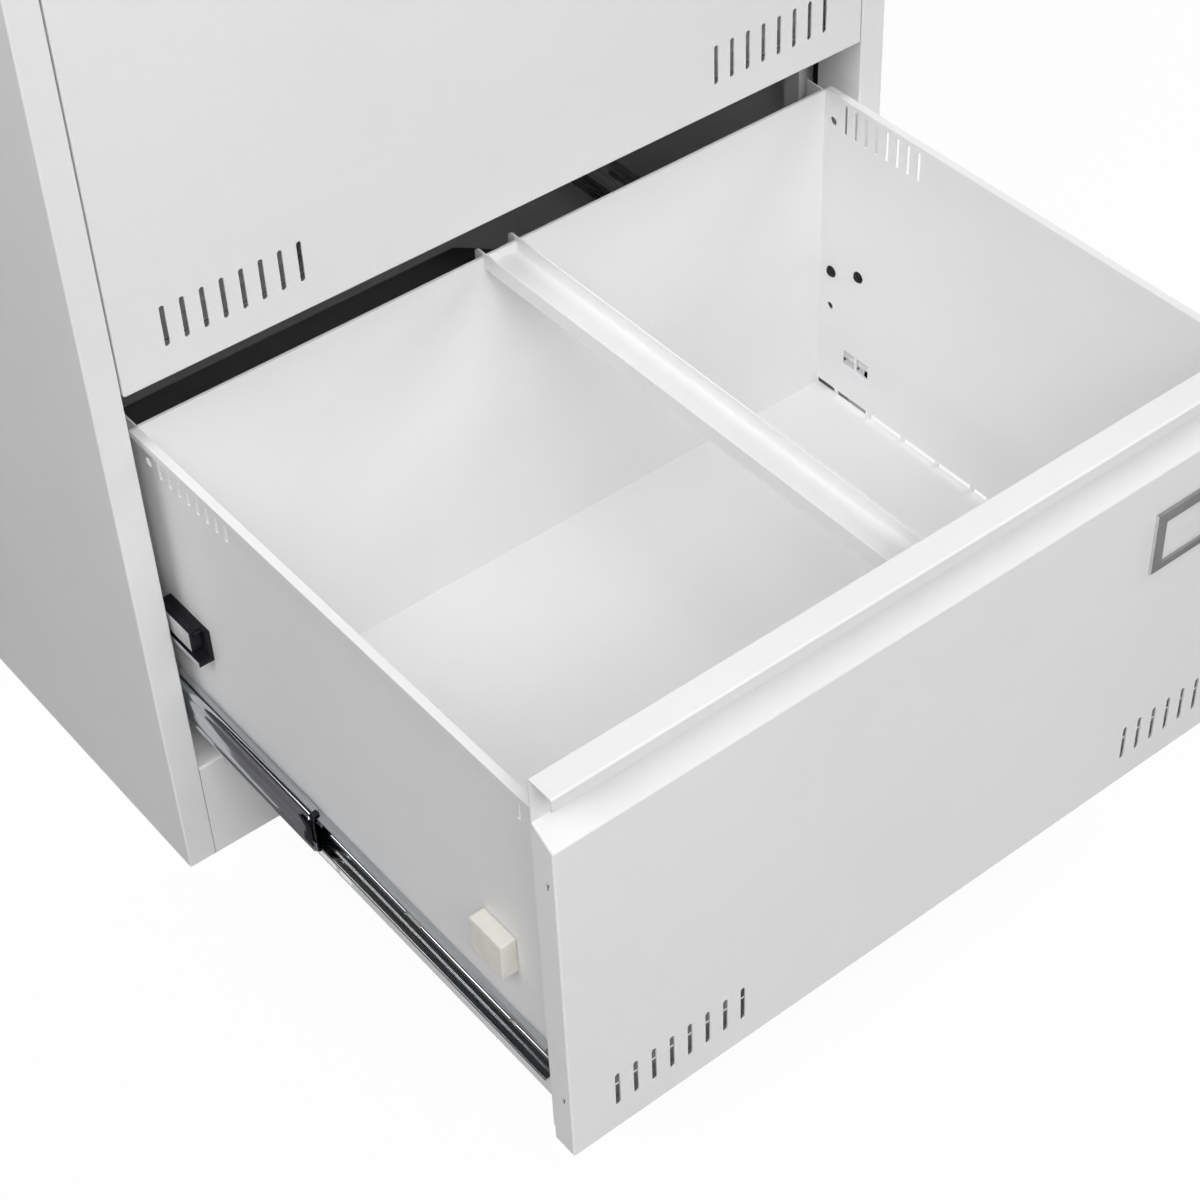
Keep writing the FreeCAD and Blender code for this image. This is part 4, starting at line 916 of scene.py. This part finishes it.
def label_holder(drawer):
    """The frame on a drawer's front."""
    low, high = limits(f"{drawer}_label_holder")
    work = bmesh.new()
    push(work, rectangle(low.x, low.z, high.x, high.z), along_y, low.y, high.y)
    border = from_bmesh(f"{drawer}_label_frame", work, GREY_PLASTIC, PAINTED_LIT_PLASTIC)
    cutter = bmesh.new()
    push(cutter, rectangle(low.x + LABEL_BORDER, low.z + LABEL_LOWER_BORDER, high.x - LABEL_BORDER,
                           high.z - LABEL_BORDER), along_y, low.y - 1, high.y + 1)
    punched(border, from_bmesh("window", cutter))
    cutter = bmesh.new()
    push(cutter, rectangle(low.x + LABEL_WALL, low.z + LABEL_WALL, high.x - LABEL_WALL,
                           high.z - LABEL_WALL), along_y, high.y - CARD_SPACE, high.y + 1)
    punched(border, from_bmesh("recess", cutter))
    rounded(border, LABEL_ROUND)
    # The outer sides take the pale plastic. This is painted light: they are lighter than the grey only
    # for the light they catch.
    for face in border.data.polygons:
        across = face.center.x / MM
        if abs(face.normal.x) > 0.9 and (across < low.x + 0.1 or across > high.x - 0.1):
            face.material_index = 1
    settle(border, f"{drawer}_drawer", "grey_label", f"{drawer}_label_holder")


for drawer in DRAWERS:
    label_holder(drawer)

# %% [markdown]
# The cabinet stands on four levelling feet. Each has a pad with a rounded rim, a threaded stud
# and a nut above and below its bracket. The thread is a stack of rings: at this size no eye can
# tell it from a helix.

# %% Levelling feet
PAD_PROFILE = [(0, 0), (12.6, 0), (14.2, 0.6), (15, 2.2), (15, 5.4), (14.0, 7.0), (10.5, 8.2),
               (6.5, 9), (0, 9)]
PAD_RADIUS = 15
THREAD_PITCH = 1.25
NUT_HEIGHT = 6
BRACKET_SHEET = 2.5


def nut_outline(level):
    """The profile of a nut that starts at a level."""
    top = level + NUT_HEIGHT
    return [(3.6, level), (6.4, level), (7.5, level + 0.7), (7.5, top - 0.7), (6.4, top), (3.6, top)]


def threaded_stud(top):
    """The profile of a stud with its thread, from the pad up."""
    profile = [(0, 8.5), (3.4, 8.5)]
    level = 9.5
    while level < top - 2 * THREAD_PITCH:
        profile += [(3.4, level), (4.0, level + THREAD_PITCH / 2)]
        level += THREAD_PITCH
    return profile + [(3.4, level), (2.9, top), (0, top)]


low, high = limits("levelling_feet")
bracket_low, bracket_high = limits("foot_brackets")
foot_places = []
for x in (low.x + PAD_RADIUS, high.x - PAD_RADIUS):
    for y in (low.y + PAD_RADIUS, high.y - PAD_RADIUS):
        foot_places.append(((x, y, 0), (0, 0, 1)))
PAD = lathe("pad_shape", PAD_PROFILE, 32, BLACK_PLASTIC)
STUD = lathe("stud_shape", threaded_stud(high.z), 12, ZINC)
NUTS = []
for level in (bracket_low.z - NUT_HEIGHT, bracket_low.z + BRACKET_SHEET):
    NUTS.append(lathe("nut_shape", nut_outline(level), 6, ZINC))
for label, shape, material in (("foot_pads", PAD, BLACK_PLASTIC), ("foot_studs", STUD, ZINC),
                               ("lower_nuts", NUTS[0], ZINC), ("upper_nuts", NUTS[1], ZINC)):
    piece = copies(label, shape, foot_places, material)
    settle(smooth(piece), "cabinet", "zinc_steel", "levelling_feet")

# %% [markdown]
# Each foot is held by an angle that is bent from thick strip, so its inner and outer corners are
# round. Its outline has both arcs about one centre, which keeps the sheet's thickness through
# the bend, as a bevelled block would not.

# %% Foot brackets
BRACKET_LEG = 30
BRACKET_WIDTH = 40
BEND = 3.5
STUD_HOLE = 4.3
BRACKET_OUTLINE = ([(BRACKET_LEG, 0)] + arc((BEND, BEND), BEND, 270, 180, 6) +
                   [(0, BRACKET_LEG), (BRACKET_SHEET, BRACKET_LEG)] +
                   arc((BEND, BEND), BEND - BRACKET_SHEET, 180, 270, 6) +
                   [(BRACKET_LEG, BRACKET_SHEET)])
work = bmesh.new()
cutter = bmesh.new()
for (x, y, z), aim in foot_places:
    side = 1 if x > 0 else -1
    wall = bracket_high.x if side > 0 else bracket_low.x
    outline = [(wall - side * a, bracket_low.z + b) for a, b in BRACKET_OUTLINE]
    push(work, outline, along_y, y - BRACKET_WIDTH / 2, y + BRACKET_WIDTH / 2)
    push(cutter, circle((x, y), STUD_HOLE, 24), along_z,
         bracket_low.z - 1, bracket_low.z + BRACKET_SHEET + 1)
brackets = punched(from_bmesh("bent_brackets", work, ZINC), from_bmesh("stud_holes", cutter))
settle(rounded(brackets, 0.3), "cabinet", "zinc_steel", "foot_brackets")

# %% [markdown]
# The counterweight is a hot-rolled bar, whose edges come broken from the mill. The interlock
# rods are drawn flat bar with sharper edges. All are the engineering model's boxes with the
# edges that such a bar has, so one function makes them.

# %% Counterweight and interlock rods
def bar(name, node, material, edge):
    """A flat bar that fills a node's box, with its edges rounded."""
    low, high = limits(node)
    work = bmesh.new()
    push(work, rectangle(low.x, low.y, high.x, high.y), along_z, low.z, high.z)
    return rounded(from_bmesh(name, work, material), edge)


ballast = bar("ballast_bar", "counterweight", ZINC, 1.2)
settle(ballast, "cabinet", "zinc_steel", "counterweight")
for side_name in SIDES:
    node = f"interlock_rod_{side_name}"
    rod = bar(f"drawn_rod_{side_name}", node, BLACK_STEEL, 0.5)
    settle(rod, f"{side_name}_rod", "black_steel", node)

# %% [markdown]
# The cam lock is small, but it is what a close view of the front looks at: a bezel with a
# rounded rim, a plug with a chamfer and a keyway, and a cam held by a screw. Round parts are
# turned about Z from their profiles and then laid along the lock's own axis.

# %% Lock
KEYWAY = (2.4, 7.4, 19.2)
CAM_TIP = 4


def facing_front(piece, x, z):
    """Lay a shape that was turned about Z along -Y, at a place in X and Z."""
    turn = Matrix.Translation(Vector((x, 0, z)) * MM) @ Matrix.Rotation(math.pi / 2, 4, "X")
    piece.data.transform(turn)
    return piece


low, high = limits("lock_housing")
lock_x, lock_z = (low.x + high.x) / 2, (low.z + high.z) / 2
face, back = -low.y, -high.y
ring = [(5.8, back), (8.5, back), (8.5, face - 2), (11, face - 2), (11, face - 0.9),
        (10.6, face - 0.3), (9.8, face), (6.6, face), (5.8, face - 0.6), (5.8, back)]
housing = facing_front(lathe("bezel_ring", ring, 48, NICKEL), lock_x, lock_z)
settle(housing, "cabinet", "nickel", "lock_housing")

low, high = limits("lock_plug")
face, back = -low.y, -high.y
core = [(0, back), (5.2, back), (5.5, back + 0.3), (5.5, face - 0.4), (5.1, face), (0, face)]
plug = facing_front(lathe("plug_core", core, 32, NICKEL), lock_x, lock_z)
work = bmesh.new()
across, upright, deep = KEYWAY
slot = rectangle(lock_x - across / 2, lock_z - upright / 2, lock_x + across / 2, lock_z + upright / 2)
push(work, slot, along_y, low.y - 1, low.y + deep)
settle(smooth(punched(plug, from_bmesh("keyway", work))), "lock_cylinder", "nickel", "lock_plug")

low, high = limits("lock_cam")
work = bmesh.new()
half = (high.z - low.z) / 2
cam = (arc((lock_x, lock_z), half, 90, 270, 12) +
       arc((high.x - CAM_TIP, lock_z), CAM_TIP, -60, 60, 8))
push(work, cam, along_y, low.y, high.y)
cam_piece = rounded(from_bmesh("rounded_cam", work, ZINC), 0.25)
settle(cam_piece, "lock_cylinder", "zinc_steel", "lock_cam")
rear = -high.y
cap = [(0, rear - 1.4), (2.2, rear - 1.4), (3.2, rear - 0.9), (3.4, rear), (0, rear)]
screw = facing_front(lathe("cam_screw", cap, 24, ZINC), lock_x, lock_z)
settle(screw, "lock_cylinder", "zinc_steel")

# %% [markdown]
# The key is stamped from sheet: a round bow with a hole for a ring, and a blade whose lower edge
# has five cuts of different depths. One outline goes round the bow and along the blade, so the
# two are one sheet without a joint.

# %% Key
BOW_RADIUS = 11
BLADE_HALF = 3.5
CUT_DEPTHS = (1.2, 2.2, 0.8, 1.8, 1.4)
CUT_PITCH = 3.2
FIRST_CUT = 9.5
RING_HOLE = 3
low, high = limits("key")
bow_y = low.y + BOW_RADIUS
start, tip = bow_y + math.sqrt(BOW_RADIUS ** 2 - BLADE_HALF ** 2), high.y
teeth = []
for number, depth in enumerate(CUT_DEPTHS):
    spot = start + FIRST_CUT + CUT_PITCH * number
    teeth += [(spot, 0), (spot + 0.9, depth), (spot + 1.7, depth), (spot + 2.6, 0)]
blade = [(y, lock_z - BLADE_HALF + cut) for y, cut in teeth]
blade += [(tip - 2, lock_z - BLADE_HALF), (tip, lock_z - 1.5), (tip, lock_z + 1),
          (tip - 2.5, lock_z + BLADE_HALF)]
opening = math.degrees(math.asin(BLADE_HALF / BOW_RADIUS))
bow = arc((bow_y, lock_z), BOW_RADIUS, opening, 360 - opening, 36)
work = bmesh.new()
push(work, bow + blade, along_x, low.x, high.x)
key = from_bmesh("cut_key", work, NICKEL)
cutter = bmesh.new()
ring_hole = circle((bow_y - BOW_RADIUS / 2, lock_z), RING_HOLE, 24)
push(cutter, ring_hole, along_x, low.x - 1, high.x + 1)
punched(key, from_bmesh("ring_hole", cutter))
settle(rounded(key, 0.3), "lock_cylinder", "nickel", "key")

# %% [markdown]
# The ends of a front are cut through in two places, and the tongue of each cut is pressed a
# little inwards. The engineering model has only the openings, so the tongues are added here.
# Each one hangs on the sheet by its lower edge.

# %% Lanced tongues
LANCE_IN = 8.1
LANCE_LEVELS = (44.8, 226.0)
TONGUE = [(0, -3.5), (-1.0, 1.2), (-1.9, 1.2), (-1.0, -3.5)]
for drawer in DRAWERS:
    low, high = limits(f"{drawer}_front")
    y = low.y + LANCE_IN
    work = bmesh.new()
    for side in SIDES.values():
        outer = high.x if side > 0 else low.x
        for level in LANCE_LEVELS:
            outline = [(outer + side * a, low.z + level + b) for a, b in TONGUE]
            push(work, outline, along_y, y - 1.5, y + 0.4)
    tongues = from_bmesh(f"{drawer}_lanced_tongues", work, PAINT)
    settle(rounded(tongues, 0.15), f"{drawer}_drawer", "white_paint")

# %% [markdown]
# A pad of cream foam is stuck to the outside of each drawer wall. It is soft, so its edges are
# rounded and its faces are not quite flat: the cut block is subdivided and its points move a
# little along their normals, by a noise that depends only on their place. A cloth simulation
# suits a sewn cushion, but this is a short block that nothing presses. The photograph shows it
# a little taller than the engineering model has it.

# %% Foam bumpers
FOAM_LUMP = 0.35
FOAM_THICKNESS = 11
FOAM_INSET = 0.2
FOAM_GAP = 0.1
FOAM_LOWER = 1.4
FOAM_HIGHER = 0.7


def foam_block(name, low, high):
    """A soft block between two corners, with rounded edges and slightly uneven faces."""
    work = bmesh.new()
    push(work, rectangle(low.y, low.z, high.y, high.z), along_x, low.x, high.x)
    bmesh.ops.subdivide_edges(work, edges=work.edges[:], cuts=1, use_grid_fill=True)
    block = from_bmesh(name, work, FOAM)
    rounded(block, 0.9, 3)
    work = bmesh.new()
    work.from_mesh(block.data)
    bmesh.ops.triangulate(work, faces=[f for f in work.faces if len(f.verts) > 4])
    bmesh.ops.subdivide_edges(work, edges=[e for e in work.edges if e.calc_length() > 3 * MM],
                              cuts=7, use_grid_fill=True)
    bmesh.ops.triangulate(work, faces=[f for f in work.faces if len(f.verts) > 4])
    work.normal_update()
    for vert in work.verts:
        lump = field.noise(vert.co / MM * 0.16) * 0.7 + field.noise(vert.co / MM * 0.9) * 0.3
        vert.co += vert.normal * FOAM_LUMP * lump * MM
    work.to_mesh(block.data)
    work.free()
    block.data.shade_smooth()
    return block


for drawer in DRAWERS:
    low, high = limits(f"{drawer}_foam_bumpers")
    for side_name, side in SIDES.items():
        inner = high.x - FOAM_THICKNESS + FOAM_GAP
        outer = high.x - FOAM_INSET
        start, end = (inner, outer) if side > 0 else (-outer, -inner)
        corner_low = Vector((start, low.y, low.z - FOAM_LOWER))
        corner_high = Vector((end, high.y, high.z + FOAM_HIGHER))
        pad = foam_block(f"{drawer}_foam_pad_{side_name}", corner_low, corner_high)
        settle(pad, f"{drawer}_drawer", "foam", f"{drawer}_foam_bumpers")

# %% [markdown]
# The shapes that were only copied from are removed.

# %% Remove the copied shapes
for pattern in (BALL, SCREW, PAD, STUD, *NUTS):
    bpy.data.objects.remove(pattern)
